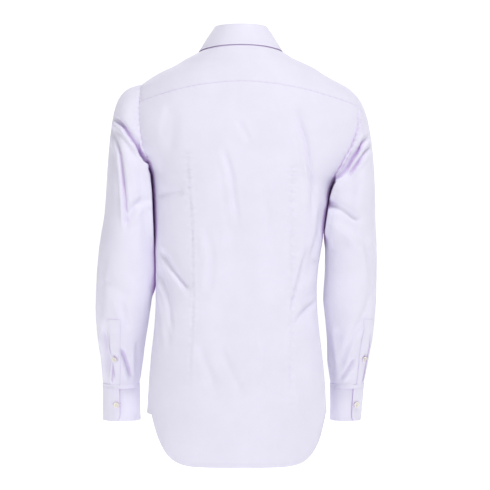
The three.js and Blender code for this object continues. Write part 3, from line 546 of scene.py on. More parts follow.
def new_object(name, vertices, faces, material, uvs=None, smooth_faces=True):
    mesh = bpy.data.meshes.new(name)
    mesh.from_pydata((np.asarray(vertices) * METRES).tolist(), [], faces)
    mesh.materials.append(material)
    if smooth_faces:
        mesh.polygons.foreach_set("use_smooth", [True] * len(mesh.polygons))
    if uvs is not None:
        layer = mesh.uv_layers.new(name="cloth")
        corners = np.empty(len(mesh.loops), np.int32)
        mesh.loops.foreach_get("vertex_index", corners)
        layer.data.foreach_set("uv", (np.asarray(uvs)[corners] * METRES).ravel())
    mesh.update()
    piece = bpy.data.objects.new(name, mesh)
    bpy.context.scene.collection.objects.link(piece)
    return piece


def grid_faces(rows, columns, closed, start=0, flip=False):
    r, c = np.meshgrid(np.arange(rows - 1), np.arange(columns if closed else columns - 1), indexing="ij")
    right = (c + 1) % columns
    quads = np.stack([r * columns + c, r * columns + right, (r + 1) * columns + right, (r + 1) * columns + c], -1)
    quads = quads.reshape(-1, 4) + start
    return (quads[:, ::-1] if flip else quads).tolist()


def sharpen(mesh, loops):
    """Keeps the shading of the cloth apart from that of its turned edges."""
    pairs = np.concatenate([np.stack([loop, np.roll(loop, -1)], -1) for loop in loops])
    pairs = np.sort(pairs, 1)
    edges = np.empty(len(mesh.edges) * 2, int)
    mesh.edges.foreach_get("vertices", edges)
    edges = np.sort(edges.reshape(-1, 2), 1)
    count = len(mesh.vertices)
    sharp = np.isin(edges[:, 0] * count + edges[:, 1], pairs[:, 0] * count + pairs[:, 1])
    mesh.attributes.new("sharp_edge", "BOOLEAN", "EDGE").data.foreach_set("value", sharp)


def rim_loop(rows, columns):
    ids = np.arange(rows * columns).reshape(rows, columns)
    return np.concatenate([ids[0], ids[1:, -1], ids[-1, -2::-1], ids[-2:0:-1, 0]])


def cloth_piece(name, grid, normals, material, closed=False, depth=TURNED_DEPTH, width=TURNED_WIDTH):
    """One layer of cloth whose edges are turned in, so that they show the cloth's thickness."""
    rows, columns = grid.shape[:2]
    down = np.cumsum(np.linalg.norm(np.diff(grid, axis=0, prepend=grid[:1]), axis=-1), 0)
    across = np.cumsum(np.linalg.norm(np.diff(grid, axis=1, prepend=grid[:, :1]), axis=-1), 1)
    vertices = [grid.reshape(-1, 3)]
    uvs = [np.stack([across, down], -1).reshape(-1, 2)]
    flat_normals = normals.reshape(-1, 3)
    du, dv = grid[0, 1] - grid[0, 0], grid[1, 0] - grid[0, 0]
    flip = float(np.dot(np.cross(du, dv), normals[0, 0])) < 0
    faces = grid_faces(rows, columns, closed, flip=flip)
    ids = np.arange(rows * columns).reshape(rows, columns)
    loops = [ids[0], ids[-1]] if closed else [rim_loop(rows, columns)]
    start = rows * columns
    for k, loop in enumerate(loops):
        points, out = vertices[0][loop], flat_normals[loop]
        tangent = np.roll(points, -1, 0) - np.roll(points, 1, 0)
        inward = unit(np.cross(out, tangent))
        probe = (grid[1] if k == 0 else grid[-2]) - points if closed else inward
        if not closed:
            inner = grid[min(2, rows - 1), columns // 2] - grid[0, columns // 2]
            probe = np.broadcast_to(inner, points.shape)[columns // 2:columns // 2 + 1]
            inward = inward * np.sign(np.dot(inward[columns // 2], probe[0]))
        else:
            inward = inward * np.sign((inward * probe).sum(-1, keepdims=True))
        layers = [
            points - out * depth * 0.5 - inward * depth * 0.15,
            points - out * depth,
            points - out * depth + inward * width,
        ]
        count = len(loop)
        previous = loop
        for layer in layers:
            ring = np.arange(start, start + count)
            vertices.append(layer)
            uvs.append(uvs[0][loop])
            nxt = np.roll(np.arange(count), -1)
            faces += np.stack([previous, previous[nxt], ring[nxt], ring], -1).tolist()
            previous = ring
            start += count
    piece = new_object(name, np.concatenate(vertices), faces, material, np.concatenate(uvs))
    sharpen(piece.data, loops)
    return piece


def shell_piece(name, outer, inner, material):
    """A doubled, closed piece between two grids of points."""
    rows, columns = outer.shape[:2]
    down = np.cumsum(np.linalg.norm(np.diff(outer, axis=0, prepend=outer[:1]), axis=-1), 0)
    across = np.cumsum(np.linalg.norm(np.diff(outer, axis=1, prepend=outer[:, :1]), axis=-1), 1)
    uv = np.stack([across, down], -1).reshape(-1, 2)
    count = rows * columns
    faces = grid_faces(rows, columns, False) + grid_faces(rows, columns, False, count, True)
    loop = rim_loop(rows, columns)
    edge = (outer.reshape(-1, 3)[loop] + inner.reshape(-1, 3)[loop]) / 2
    thick = outer.reshape(-1, 3)[loop] - inner.reshape(-1, 3)[loop]
    tangent = np.roll(edge, -1, 0) - np.roll(edge, 1, 0)
    bulge = unit(np.cross(tangent, thick))
    centre = outer[rows // 2, columns // 2] - outer[0, columns // 2]
    bulge = bulge * (1 if np.dot(bulge[columns // 2], centre) < 0 else -1)
    edge = edge + bulge * 0.35 * np.linalg.norm(thick, axis=-1, keepdims=True)
    ring = np.arange(2 * count, 2 * count + len(loop))
    nxt = np.roll(np.arange(len(loop)), -1)
    faces += np.stack([loop[nxt], loop, ring, ring[nxt]], -1).tolist()
    faces += np.stack([ring[nxt], ring, loop + count, loop[nxt] + count], -1).tolist()
    vertices = np.concatenate([outer.reshape(-1, 3), inner.reshape(-1, 3), edge])
    piece = new_object(name, vertices, faces, material, np.concatenate([uv, uv, uv[loop]]))
    bm = bmesh.new()
    bm.from_mesh(piece.data)
    bmesh.ops.recalc_face_normals(bm, faces=bm.faces)
    bm.to_mesh(piece.data)
    bm.free()
    sharpen(piece.data, [loop, loop + count])
    return piece


def stitch_rows(name, rows, material, pitch=STITCH_PITCH, length=STITCH_LENGTH, radius=STITCH_RADIUS):
    """Short raised stitches along rows of points; each row is (points, normals)."""
    vertices, faces = [], []
    corners = np.array([(-0.5, 0), (-0.3, 1), (0.3, 1), (0.5, 0)])
    for line, normals in rows:
        steps = np.linalg.norm(np.diff(line, axis=0), axis=1)
        lengths = np.concatenate([[0], np.cumsum(steps)])
        count = int(lengths[-1] / pitch)
        if count < 1:
            continue
        spots = (np.arange(count) + 0.5) * lengths[-1] / count
        middle = np.stack([np.interp(spots, lengths, line[:, k]) for k in range(3)], -1)
        ahead = np.stack([np.interp(spots + 0.5, lengths, line[:, k]) for k in range(3)], -1)
        behind = np.stack([np.interp(spots - 0.5, lengths, line[:, k]) for k in range(3)], -1)
        out = unit(np.stack([np.interp(spots, lengths, normals[:, k]) for k in range(3)], -1))
        way = unit(ahead - behind)
        side = unit(np.cross(out, way))
        for k in range(count):
            base = len(vertices)
            for along, swell in corners:
                centre = middle[k] + way[k] * along * length + out[k] * radius * (0.3 + 0.5 * swell)
                wide = radius * (0.45 + 0.55 * swell)
                vertices += [
                    centre + side[k] * wide, centre + out[k] * wide,
                    centre - side[k] * wide, centre - out[k] * wide,
                ]
            for ring in range(3):
                for j in range(4):
                    a, b = base + 4 * ring + j, base + 4 * ring + (j + 1) % 4
                    faces.append([a, b, b + 4, a + 4])
            faces.append([base + 3, base + 2, base + 1, base])
            faces.append([base + 12, base + 13, base + 14, base + 15])
    return new_object(name, vertices, faces, material)


def row_inside(grid, normals, edge, away, start=0.0, end=1.0):
    """A line of points on a grid, at a distance from one of its edges."""
    if edge in ("first", "last"):
        grid, normals = np.swapaxes(grid, 0, 1), np.swapaxes(normals, 0, 1)
    if edge in ("bottom", "last"):
        grid, normals = grid[::-1], normals[::-1]
    count = grid.shape[1]
    picked = range(int(start * (count - 1)), int(round(end * (count - 1))) + 1)
    line, out = [], []
    for c in picked:
        steps = np.linalg.norm(np.diff(grid[:12 * FINE_DOWN, c], axis=0), axis=1)
        lengths = np.concatenate([[0], np.cumsum(steps)])
        place = np.interp(away, lengths, np.arange(len(lengths)))
        k = min(int(place), len(grid) - 2)
        line.append(lerp(grid[k, c], grid[k + 1, c], place - k))
        out.append(normals[k, c])
    return np.array(line), np.array(out)


# Materials

def node_material(name, base, roughness, sheen=0.0, coat=0.0):
    material = bpy.data.materials.new(name)
    material.use_nodes = True
    tree = material.node_tree
    shader = tree.nodes["Principled BSDF"]
    shader.inputs["Base Color"].default_value = (*base, 1)
    shader.inputs["Roughness"].default_value = roughness
    shader.inputs["Sheen Weight"].default_value = sheen
    shader.inputs["Sheen Roughness"].default_value = 0.5
    shader.inputs["Coat Weight"].default_value = coat
    return material, tree, shader


def add_node(tree, kind, **inputs):
    node = tree.nodes.new(kind)
    for key, value in inputs.items():
        node.inputs[key.replace("_", " ")].default_value = value
    return node


WEAVE_PITCH = 0.00045
# Violet of the painted shade that darkens the cloth's base colour in its creases and hollows
PAINTED_SHADE_TINT = (0.80, 0.62, 0.88)


def cloth_material(name, base):
    """Fine plain weave with slightly uneven threads, the faint mottling of pressed cotton, and painted violet shade in
    its creases, hollows and narrow gaps.
    """
    material, tree, shader = node_material(name, base, 0.72, sheen=0.12)
    link = tree.links.new
    uv = tree.nodes.new("ShaderNodeUVMap")
    uv.uv_map = "cloth"
    scale = math.pi / WEAVE_PITCH / 20
    warp = add_node(tree, "ShaderNodeTexWave", Scale=scale, Distortion=0.6, Detail=1.0)
    warp.bands_direction = "X"
    weft = add_node(tree, "ShaderNodeTexWave", Scale=scale, Distortion=0.6, Detail=1.0)
    weft.bands_direction = "Y"
    check = add_node(tree, "ShaderNodeTexChecker", Scale=1 / WEAVE_PITCH)
    weave = tree.nodes.new("ShaderNodeMix")
    link(uv.outputs["UV"], warp.inputs["Vector"])
    link(uv.outputs["UV"], weft.inputs["Vector"])
    link(uv.outputs["UV"], check.inputs["Vector"])
    link(check.outputs["Fac"], weave.inputs["Factor"])
    link(warp.outputs["Fac"], weave.inputs["A"])
    link(weft.outputs["Fac"], weave.inputs["B"])
    threads = tree.nodes.new("ShaderNodeBump")
    threads.inputs["Strength"].default_value = 0.25
    threads.inputs["Distance"].default_value = 0.0001
    link(weave.outputs["Result"], threads.inputs["Height"])
    place = tree.nodes.new("ShaderNodeTexCoord")
    crinkle = add_node(tree, "ShaderNodeTexNoise", Scale=55.0, Detail=4.0, Roughness=0.55)
    link(place.outputs["Object"], crinkle.inputs["Vector"])
    soft = tree.nodes.new("ShaderNodeBump")
    soft.inputs["Strength"].default_value = 0.18
    soft.inputs["Distance"].default_value = 0.0012
    link(crinkle.outputs["Fac"], soft.inputs["Height"])
    link(threads.outputs["Normal"], soft.inputs["Normal"])
    link(soft.outputs["Normal"], shader.inputs["Normal"])
    mottle = add_node(tree, "ShaderNodeTexNoise", Scale=16.0, Detail=5.0, Roughness=0.6)
    link(place.outputs["Object"], mottle.inputs["Vector"])
    tones = tree.nodes.new("ShaderNodeValToRGB")
    dark = tuple(0.972 * c for c in base)
    light = tuple(min(1.018 * c, 1) for c in base)
    tones.color_ramp.elements[0].position, tones.color_ramp.elements[0].color = 0.3, (*dark, 1)
    tones.color_ramp.elements[1].position, tones.color_ramp.elements[1].color = 0.7, (*light, 1)
    link(mottle.outputs["Fac"], tones.inputs["Fac"])
    # Painted shade: an occlusion test darkens the base colour towards the violet tint in creases, hollows and narrow
    # gaps
    painted_shade_occlusion = add_node(tree, "ShaderNodeAmbientOcclusion", Distance=0.009)
    painted_shade_ramp = tree.nodes.new("ShaderNodeValToRGB")
    painted_shade_ramp.color_ramp.elements[0].position, painted_shade_ramp.color_ramp.elements[0].color = 0.35, (*PAINTED_SHADE_TINT, 1)
    painted_shade_ramp.color_ramp.elements[1].position, painted_shade_ramp.color_ramp.elements[1].color = 0.92, (1, 1, 1, 1)
    link(painted_shade_occlusion.outputs["AO"], painted_shade_ramp.inputs["Fac"])
    tones_with_painted_shade = add_node(tree, "ShaderNodeVectorMath")
    tones_with_painted_shade.operation = "MULTIPLY"
    link(tones.outputs["Color"], tones_with_painted_shade.inputs[0])
    link(painted_shade_ramp.outputs["Color"], tones_with_painted_shade.inputs[1])
    link(tones_with_painted_shade.outputs["Vector"], shader.inputs["Base Color"])
    return material


def thread_material(name, base):
    """Twisted sewing thread."""
    material, tree, shader = node_material(name, base, 0.5, sheen=0.2)
    place = tree.nodes.new("ShaderNodeTexCoord")
    twist = add_node(tree, "ShaderNodeTexWave", Scale=900.0, Distortion=1.0)
    twist.bands_direction = "DIAGONAL"
    bump = tree.nodes.new("ShaderNodeBump")
    bump.inputs["Strength"].default_value = 0.3
    bump.inputs["Distance"].default_value = 0.00008
    tree.links.new(place.outputs["Object"], twist.inputs["Vector"])
    tree.links.new(twist.outputs["Fac"], bump.inputs["Height"])
    tree.links.new(bump.outputs["Normal"], shader.inputs["Normal"])
    return material


def shell_button_material(name, base):
    """Creamy polished button with soft cloudy bands."""
    material, tree, shader = node_material(name, base, 0.22, coat=0.35)
    place = tree.nodes.new("ShaderNodeTexCoord")
    cloud = add_node(tree, "ShaderNodeTexNoise", Scale=260.0, Detail=3.0, Distortion=1.2)
    tones = tree.nodes.new("ShaderNodeValToRGB")
    dark = tuple(0.86 * c for c in base)
    tones.color_ramp.elements[0].position, tones.color_ramp.elements[0].color = 0.32, (*dark, 1)
    tones.color_ramp.elements[1].position, tones.color_ramp.elements[1].color = 0.68, (*base, 1)
    tree.links.new(place.outputs["Object"], cloud.inputs["Vector"])
    tree.links.new(cloud.outputs["Fac"], tones.inputs["Fac"])
    tree.links.new(tones.outputs["Color"], shader.inputs["Base Color"])
    return material


def plain_material(name, base, roughness):
    material, tree, shader = node_material(name, base, roughness)
    place = tree.nodes.new("ShaderNodeTexCoord")
    grain = add_node(tree, "ShaderNodeTexNoise", Scale=40.0)
    bump = tree.nodes.new("ShaderNodeBump")
    bump.inputs["Strength"].default_value = 0.02
    tree.links.new(place.outputs["Object"], grain.inputs["Vector"])
    tree.links.new(grain.outputs["Fac"], bump.inputs["Height"])
    tree.links.new(bump.outputs["Normal"], shader.inputs["Normal"])
    return material


# The cloth's base colour; its material also paints shade into creases and hollows
CLOTH = cloth_material("shirt_cloth_with_painted_shade", (0.80, 0.78, 0.905))
THREAD = thread_material("shirt_thread", (0.86, 0.84, 0.94))
CREAM = shell_button_material("shirt_button", (0.93, 0.90, 0.79))
# Painted shade: dark grey that stands for the shade inside the buttons' holes
PAINTED_HOLE_SHADE = plain_material("button_hole_shade", (0.34, 0.31, 0.30), 0.8)


def attach(piece, slot_name, *nodes):
    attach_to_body(piece, "root")
    if nodes:
        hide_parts(*nodes)
    return piece


# Body panels

def armhole_edge(side, first, last):
    """Places on an armhole between two of its coarse steps, with fine steps between."""
    turns = armhole_turns(side)
    index = np.arange(first * FINE_AROUND, last * FINE_AROUND + (1 if last > first else -1), 1 if last > first else -1)
    turn = turns[index % len(turns)]
    return armhole_place(side, np.where(index == len(turns), 360.0, turn))


def hem_places(angles):
    angles = np.asarray(angles, float)
    bottom = np.where(np.sin(np.radians(angles)) > 0, HEM_BACK, HEM_FRONT)
    across = np.cos(np.radians(angles))
    reach = np.where(across > 0, HEM_CURVE_REACH["left"], HEM_CURVE_REACH["right"])
    curve = np.minimum(np.abs(across) / reach, 1) ** HEM_CURVE_POWER
    height = lerp(bottom, HEM_SIDE, curve)
    return places(angles, level_at(angles, height))


BACK_COLUMNS = 24 * FINE_AROUND
LOWER_ROWS = 150
corner_left = armhole_edge("left", 0, PANEL_STEPS)[-1]
corner_right = armhole_edge("right", 0, PANEL_STEPS)[-1]


def yoke_seam():
    u = np.linspace(0, 1, BACK_COLUMNS + 1)
    angle = lerp(corner_left[0], corner_right[0], u)
    ends = body_point(np.array([corner_left[0], corner_right[0]]), np.array([corner_left[1], corner_right[1]]))
    end = np.where((u < 0.5)[:, None], ends[0], ends[1])

    def above(level):
        point = body_point(angle, level)
        fall = np.minimum(np.abs(point[:, 0] / end[:, 0]), 1) ** YOKE_FALL_POWER
        return point[:, 2] - lerp(YOKE_BACK_HEIGHT, end[:, 2], fall)

    seam = places(angle, place_where(above, np.zeros(len(u)), 0, NECK_LEVEL))
    seam[0], seam[-1] = corner_left, corner_right
    return seam


def side_seam(side):
    angle = 0.0 if side == "left" else 180.0
    top = armhole_place(side, np.array([0.0]))[0, 1]
    low = hem_places([angle])[0, 1]
    return places(angle, np.linspace(low, top, LOWER_ROWS + 1))


def grid_of(place_grid):
    return dressed_body(place_grid[..., 0], place_grid[..., 1])


def seam_relief(grid, line, reach, height, ripple=0.0, pitch=8.0, ripple_reach=9.0):
    """Raises or sinks the cloth along a seam line and ripples it beside the seam."""
    away, along = distance_to(grid, line)
    relief = height * np.exp(-((away / reach) ** 2))
    return relief + puckers(away, along, ripple_reach, ripple, pitch)


def hem_relief(away, along):
    fold = 0.55 * smooth(HEM_STITCH + 1.0, HEM_STITCH - 0.6, away)
    groove = -0.35 * np.exp(-(((away - HEM_STITCH) / 1.2) ** 2))
    return fold + groove + puckers(away - HEM_STITCH, along, 6.0, 0.32, 7.5)


def dart_relief(grid, side):
    """A dart: the line it is sewn on, the thicker cloth pressed to the middle, and its puckers."""
    line = np.array([(x, 0, z) for x, z in DARTS[side]], float)
    flat = grid * np.array([1, 0, 1])
    z = np.linspace(line[0, 2], line[-1, 2], 300)
    x = np.interp(-z, -line[:, 2], line[:, 0])
    path = np.stack([x, np.zeros_like(x), z], -1)
    away, along = distance_to(flat, path)
    path_x = np.interp(-grid[..., 2], -line[:, 2], line[:, 0])
    inner = (path_x - grid[..., 0]) * SIGN[side]
    ends = smooth(0, 60, along) * smooth(along.max(), along.max() - 60, along)
    tuck = 0.35 * smooth(0.2, 2.0, inner) * smooth(10, 6, inner) * (away < 12)
    groove = -0.8 * np.exp(-((inner / 1.9) ** 2)) * (away < 6)
    ripple = puckers(away, along, 10, 0.9, 15.5) + puckers(away, along, 5, 0.55, 7.4)
    return (tuck + groove) * ends + ripple * smooth(0, 12, along) * smooth(along.max(), along.max() - 12, along)


def make_body():
    seam = yoke_seam()
    waist = places(np.linspace(0, 180, BACK_COLUMNS + 1), np.linspace(
        armhole_place("left", np.array([0.0]))[0, 1], armhole_place("right", np.array([0.0]))[0, 1], BACK_COLUMNS + 1))
    hem = hem_places(np.linspace(0, 180, BACK_COLUMNS + 1))
    lower = fill_edges(hem, waist, side_seam("left"), side_seam("right"))
    upper = fill_edges(waist, seam, armhole_edge("left", 0, PANEL_STEPS), armhole_edge("right", 0, PANEL_STEPS))
    place_grid = np.concatenate([lower[:-1], upper])
    grid = grid_of(place_grid)
    normals = sheet_normals(grid)
    away, along = distance_to(grid, grid[0])
    relief = hem_relief(away, along)
    relief += seam_relief(grid, grid[-1], 4.0, -0.15, ripple=0.16, pitch=11)
    for column, side in ((0, "left"), (-1, "right")):
        edge = grid[LOWER_ROWS:, column]
        relief += seam_relief(grid, edge, 7.0, 0.1, ripple=0.3, pitch=11)
        relief += seam_relief(grid, grid[:LOWER_ROWS, column], 2.0, -0.3, ripple=0.25, pitch=9)
        relief += dart_relief(grid, side)
    grid = grid + normals * relief[..., None]
    normals = sheet_normals(grid)
    back = cloth_piece("cloth_back", grid, normals, CLOTH)
    attach(back, "cloth", "back")
    rows = [row_inside(grid, normals, "top", HEM_STITCH)]
    stitches = attach(stitch_rows("stitches_back_hem", rows, THREAD), "cloth")
    make_yoke(seam)
    for side in SIDES:
        make_front(side, seam)


def yoke_outline(seam):
    left = armhole_edge("left", PANEL_STEPS, PANEL_STEPS + 2 * YOKE_STEPS)[::-1]
    right = armhole_edge("right", PANEL_STEPS, PANEL_STEPS + 2 * YOKE_STEPS)
    outer = np.concatenate([left[:-1], seam, right[1:]])
    neck = places(np.linspace(-YOKE_NECK_ANGLE, 180 + YOKE_NECK_ANGLE, len(outer)), NECK_LEVEL)
    return outer, neck


YOKE_ROWS = 7 * FINE_DOWN


def front_seam(seam, side):
    outer, neck = yoke_outline(seam)
    k = 0 if side == "left" else -1
    t = np.linspace(0, 1, YOKE_ROWS + 1)[:, None]
    return lerp(outer[k][None], neck[k][None], t)


def make_yoke(seam):
    outer, neck = yoke_outline(seam)
    place_grid = fill_edges(outer, neck, front_seam(seam, "left"), front_seam(seam, "right"))
    grid = grid_of(place_grid)
    normals = sheet_normals(grid)
    first = 2 * YOKE_STEPS * FINE_AROUND
    back_edge = grid[0, first:first + BACK_COLUMNS + 1]
    relief = seam_relief(grid, back_edge, 5.0, 0.3, ripple=0.08, pitch=12)
    for column in (0, -1):
        relief += seam_relief(grid, grid[:, column], 4.0, 0.6, ripple=0.08)
    relief += seam_relief(grid, grid[0, :first + 1], 6.0, 0.2, ripple=0.25, pitch=9)
    relief += seam_relief(grid, grid[0, first + BACK_COLUMNS:], 6.0, 0.2, ripple=0.25, pitch=9)
    grid = grid + normals * relief[..., None]
    normals = sheet_normals(grid)
    yoke = attach(cloth_piece("cloth_yoke", grid, normals, CLOTH), "cloth", "yoke")
    share = (first / (grid.shape[1] - 1), (first + BACK_COLUMNS) / (grid.shape[1] - 1))
    rows = [
        row_inside(grid, normals, "top", EDGE_STITCH, *share),
        row_inside(grid, normals, "first", EDGE_STITCH, 0.02, 0.98),
        row_inside(grid, normals, "last", EDGE_STITCH, 0.02, 0.98),
    ]
    stitches = attach(stitch_rows("stitches_yoke", rows, THREAD), "cloth")


def front_edge_angle(side, level):
    sign = SIGN[side]
    row = between(SECTIONS, level)
    half = row[..., 4] if sign > 0 else row[..., 3]
    return 270 - sign * (90 - np.degrees(np.arccos((LAP_HALF / half) ** (row[..., 7] / 2))))


def make_front(side, seam):
    sign = SIGN[side]
    turned = (lambda a: np.where(a > 180, a - 360, a)) if sign > 0 else (lambda a: a)

    def edge_places(levels):
        return places(turned(front_edge_angle(side, levels)), levels)

    hem_end = hem_places([float(front_edge_angle(side, np.array(0.0)))])[0, 1]
    start = armhole_place(side, np.array([0.0]))[0]
    if side == "left":
        start = start * np.array([0.0, 1.0])
    columns = 14 * FINE_AROUND
    seam_angle = start[0] - sign * FRONT_SEAM_ANGLE
    u = np.linspace(0, 1, columns + 1)
    shared = YOKE_ROWS / columns

    def across(end):
        return np.where(u < shared, lerp(start[0], seam_angle, u / shared),
                        lerp(seam_angle, end, (u - shared) / (1 - shared)))

    chest_end = edge_places(np.array([start[1]]))[0]
    chest = places(across(chest_end[0]), start[1])
    hem = hem_places(across(edge_places(np.array([hem_end]))[0, 0]))
    neck_end = edge_places(np.array([float(NECK_LEVEL)]))[0]
    shoulder = front_seam(seam, side)
    neck = places(np.linspace(shoulder[-1, 0], neck_end[0], columns - YOKE_ROWS + 1), NECK_LEVEL)
    top = np.concatenate([shoulder, neck[1:]])
    armhole = armhole_edge(side, AROUND, AROUND - PANEL_STEPS)
    armhole[0] = start
    side_line = side_seam(side)
    lower = fill_edges(hem, chest, side_line, edge_places(np.linspace(hem_end, start[1], LOWER_ROWS + 1)))
    upper = fill_edges(chest, top, armhole,
                       edge_places(np.linspace(start[1], NECK_LEVEL, PANEL_STEPS * FINE_AROUND + 1)))
    grid = grid_of(np.concatenate([lower[:-1], upper]))
    normals = -sheet_normals(grid) * sign
    away, along = distance_to(grid, grid[0])
    relief = hem_relief(away, along)
    relief += seam_relief(grid, grid[LOWER_ROWS:, 0], 7.0, 0.5, ripple=0.3, pitch=9)
    relief += seam_relief(grid, grid[:LOWER_ROWS, 0], 2.0, -0.3, ripple=0.25, pitch=9)
    relief += seam_relief(grid, grid[-1, :YOKE_ROWS + 1], 3.0, -0.5, ripple=0.15)
    if side == "right":
        relief -= LAP_DEPTH * smooth(*LAP_RAMP, grid[..., 0])
    grid = grid + normals * relief[..., None]
    normals = -sheet_normals(grid) * sign
    front = attach(cloth_piece("cloth_front_" + side, grid, normals, CLOTH), "cloth", "front_" + side)
    rows = [row_inside(grid, normals, "top", HEM_STITCH)]
    stitches = attach(stitch_rows("stitches_front_" + side, rows, THREAD), "cloth")


# Sleeves, gauntlets and cuffs

def make_sleeve(side):
    sign = SIGN[side]
    grid = sleeve_form(side)
    normals = ring_normals(grid, sign)
    away, along = distance_to(grid[:3 * FINE_DOWN], np.concatenate([grid[0], grid[0, :1]]))
    relief = np.zeros(grid.shape[:2])
    relief[:3 * FINE_DOWN] = -0.1 * np.exp(-((away / 2.5) ** 2)) + puckers(away, along, 14, 0.7, 12)
    place = np.arange(len(grid))[:, None] / FINE_DOWN
    relief = relief - 0.9 * smooth(20.4, 21, place)
    grid = grid + normals * relief[..., None]
    grid = np.concatenate([grid, grid[-1:] + np.array([0, 0, -4.0]), grid[-1:] + np.array([0, 0, -8.0])])
    normals = ring_normals(grid, sign)
    sleeve = attach(cloth_piece("cloth_sleeve_" + side, grid, normals, CLOTH, closed=True), "cloth", "sleeve_" + side)
    make_gauntlet(side, grid, normals)


def make_gauntlet(side, grid, normals):
    first = GAUNTLET_COLUMN[side] * FINE_AROUND
    last_row = 21 * FINE_DOWN
    rows = slice(last_row - GAUNTLET_ROWS * FINE_DOWN, last_row + 1)
    columns = slice(first, first + GAUNTLET_COLUMNS * FINE_AROUND + 1)
    out = normals[rows, columns]
    steps = np.linspace(0, 1, out.shape[1])[None, :]
    low = np.linspace(0, 1, out.shape[0])[:, None]
    free = 2.4 * smooth(0.7, 1, steps) * smooth(0.15, 0.4, low) * smooth(1, 0.9, low)
    lifted = grid[rows, columns] + out * (0.75 + free)[..., None]
    piece = attach(cloth_piece("cloth_gauntlet_" + side, lifted, out, CLOTH, depth=0.45, width=4.0),
                   "cloth", "gauntlet_" + side)
    lines = [
        row_inside(lifted, out, "first", EDGE_STITCH),
        row_inside(lifted, out, "last", EDGE_STITCH),
        row_inside(lifted, out, "top", EDGE_STITCH),
        row_inside(lifted, out, "top", 30.0),
    ]
    stitches = attach(stitch_rows("stitches_gauntlet_" + side, lines, THREAD, pitch=2.4, length=1.6), "cloth")
    row = last_row - GAUNTLET_BUTTON_ROW * FINE_DOWN
    column = first + GAUNTLET_COLUMNS * FINE_AROUND // 2
    spot, normal = grid[row, column], normals[row, column]
    add_button("gauntlet_" + side, SMALL_BUTTON_RADIUS, spot + normal * 1.4, normal, np.array([0.0, 0, 1]))


def make_cuff(side):
    start = CUFF_EDGE[side]
    angles = np.concatenate([np.linspace(0, 24, 17), np.arange(26, 361 + CUFF_OVERLAP, 2.0)])
    sunk = 2.5 * smooth(285, 345, angles)
    ramp = np.minimum(np.radians(angles) * 36, CUFF_CORNER)
    bottom = CUFF_BOTTOM + CUFF_CORNER - np.sqrt(CUFF_CORNER ** 2 - (CUFF_CORNER - ramp) ** 2)

    def layer(inward):
        rows = []
        for v in np.linspace(0, 1, 29):
            height = lerp(bottom, CUFF_TOP, v)
            turn = 180 - start + angles
            point = arm_point(side, turn, height)
            middle = (arm_point(side, turn + 180, height) + point) / 2
            wave = 0.35 * np.sin(np.radians(angles) * 3 + 4 * v) * np.sin(math.pi * v)
            rows.append(point + unit(middle - point) * (sunk + inward + wave)[:, None])
        return np.array(rows)

    outer = layer(0)
    normals = sheet_normals(outer)
    middle = outer.mean((0, 1))
    if np.sum(normals[14, 40] * (outer[14, 40] - middle)) < 0:
        normals = -normals
    edge_away = []
    for line in (outer[0], outer[-1], outer[:, 0]):
        edge_away.append(distance_to(outer, line)[0])
    inset = np.minimum(np.minimum(edge_away[0], edge_away[1]), edge_away[2])
    groove = -0.16 * np.exp(-(((inset - CUFF_STITCH) / 1.1) ** 2))
    outer = outer + normals * groove[..., None]
    cuff = attach(shell_piece("cloth_cuff_" + side, outer, layer(CUFF_CLOTH), CLOTH), "cloth", "cuff_" + side)
    lines = [
        row_inside(outer, normals, "top", CUFF_STITCH, 0.04, 0.98),
        row_inside(outer, normals, "bottom", CUFF_STITCH, 0.04, 0.98),
        row_inside(outer, normals, "first", CUFF_STITCH, 0.12, 0.88),
    ]
    stitches = attach(stitch_rows("stitches_cuff_" + side, lines, THREAD), "cloth")
    turn = 180 - start + CUFF_BUTTON_ANGLE[side]
    height = lerp(CUFF_TOP, CUFF_BOTTOM, CUFF_BUTTON_DROP)
    spot = arm_point(side, turn, height)
    normal = surface_normal(lambda a, b: arm_point(side, a, b), turn, height, 1, -1) * SIGN[side]
    along = np.cross(normal, np.array([0.0, 0, 1]))
    add_button("cuff_" + side, BUTTON_RADIUS, spot, normal, along)


# Collar

def stand_sunk(angle):
    return 2.5 * smooth(206, 244, angle)


def outward_at(point):
    return unit(point * np.array([1, 1, 0]))


def stand_bottom(angle):
    return body_point(angle, np.full(np.shape(angle), float(NECK_LEVEL))) + np.array([0, 0, 0.4])


def stand_top(angle):
    c, s = np.cos(np.radians(angle)), np.sin(np.radians(angle))
    reach = np.where(s > 0, STAND_BACK, STAND_FRONT)
    rise = np.where(s > 0, STAND_HEIGHTS["back"], STAND_HEIGHTS["front"]) - STAND_HEIGHTS["side"]
    return np.stack([STAND_HALF * c, reach * s, STAND_HEIGHTS["side"] + rise * s * s], -1)


def make_stand():
    lap = math.degrees(math.asin(LAP_HALF / STAND_FRONT))
    angles = np.linspace(-90 - lap, 270 + lap, 241)

    def layer(inward):
        rows = []
        for v in np.linspace(0, 1, 17):
            point = lerp(stand_bottom(angles), stand_top(angles), v)
            rows.append(point - outward_at(point) * (inward + stand_sunk(angles))[:, None])
        return np.array(rows)

    outer = layer(0)
    stand = attach(shell_piece("cloth_collar_stand", outer, layer(1.8), CLOTH), "cloth", "collar_stand")
    normals = sheet_normals(outer)
    if normals[8, 120] @ outward_at(outer[8, 120]) < 0:
        normals = -normals
    lines = [row_inside(outer, normals, "top", EDGE_STITCH)]
    stitches = attach(stitch_rows("stitches_collar_stand", lines, THREAD), "cloth")
    bottom, top = stand_bottom(np.array(270.0)), stand_top(np.array(270.0))
    lean = top - bottom
    normal = unit(np.array([0, -lean[2], lean[1]]))
    add_button("collar", BUTTON_RADIUS, (bottom + top) / 2, normal, np.array([1.0, 0, 0]))


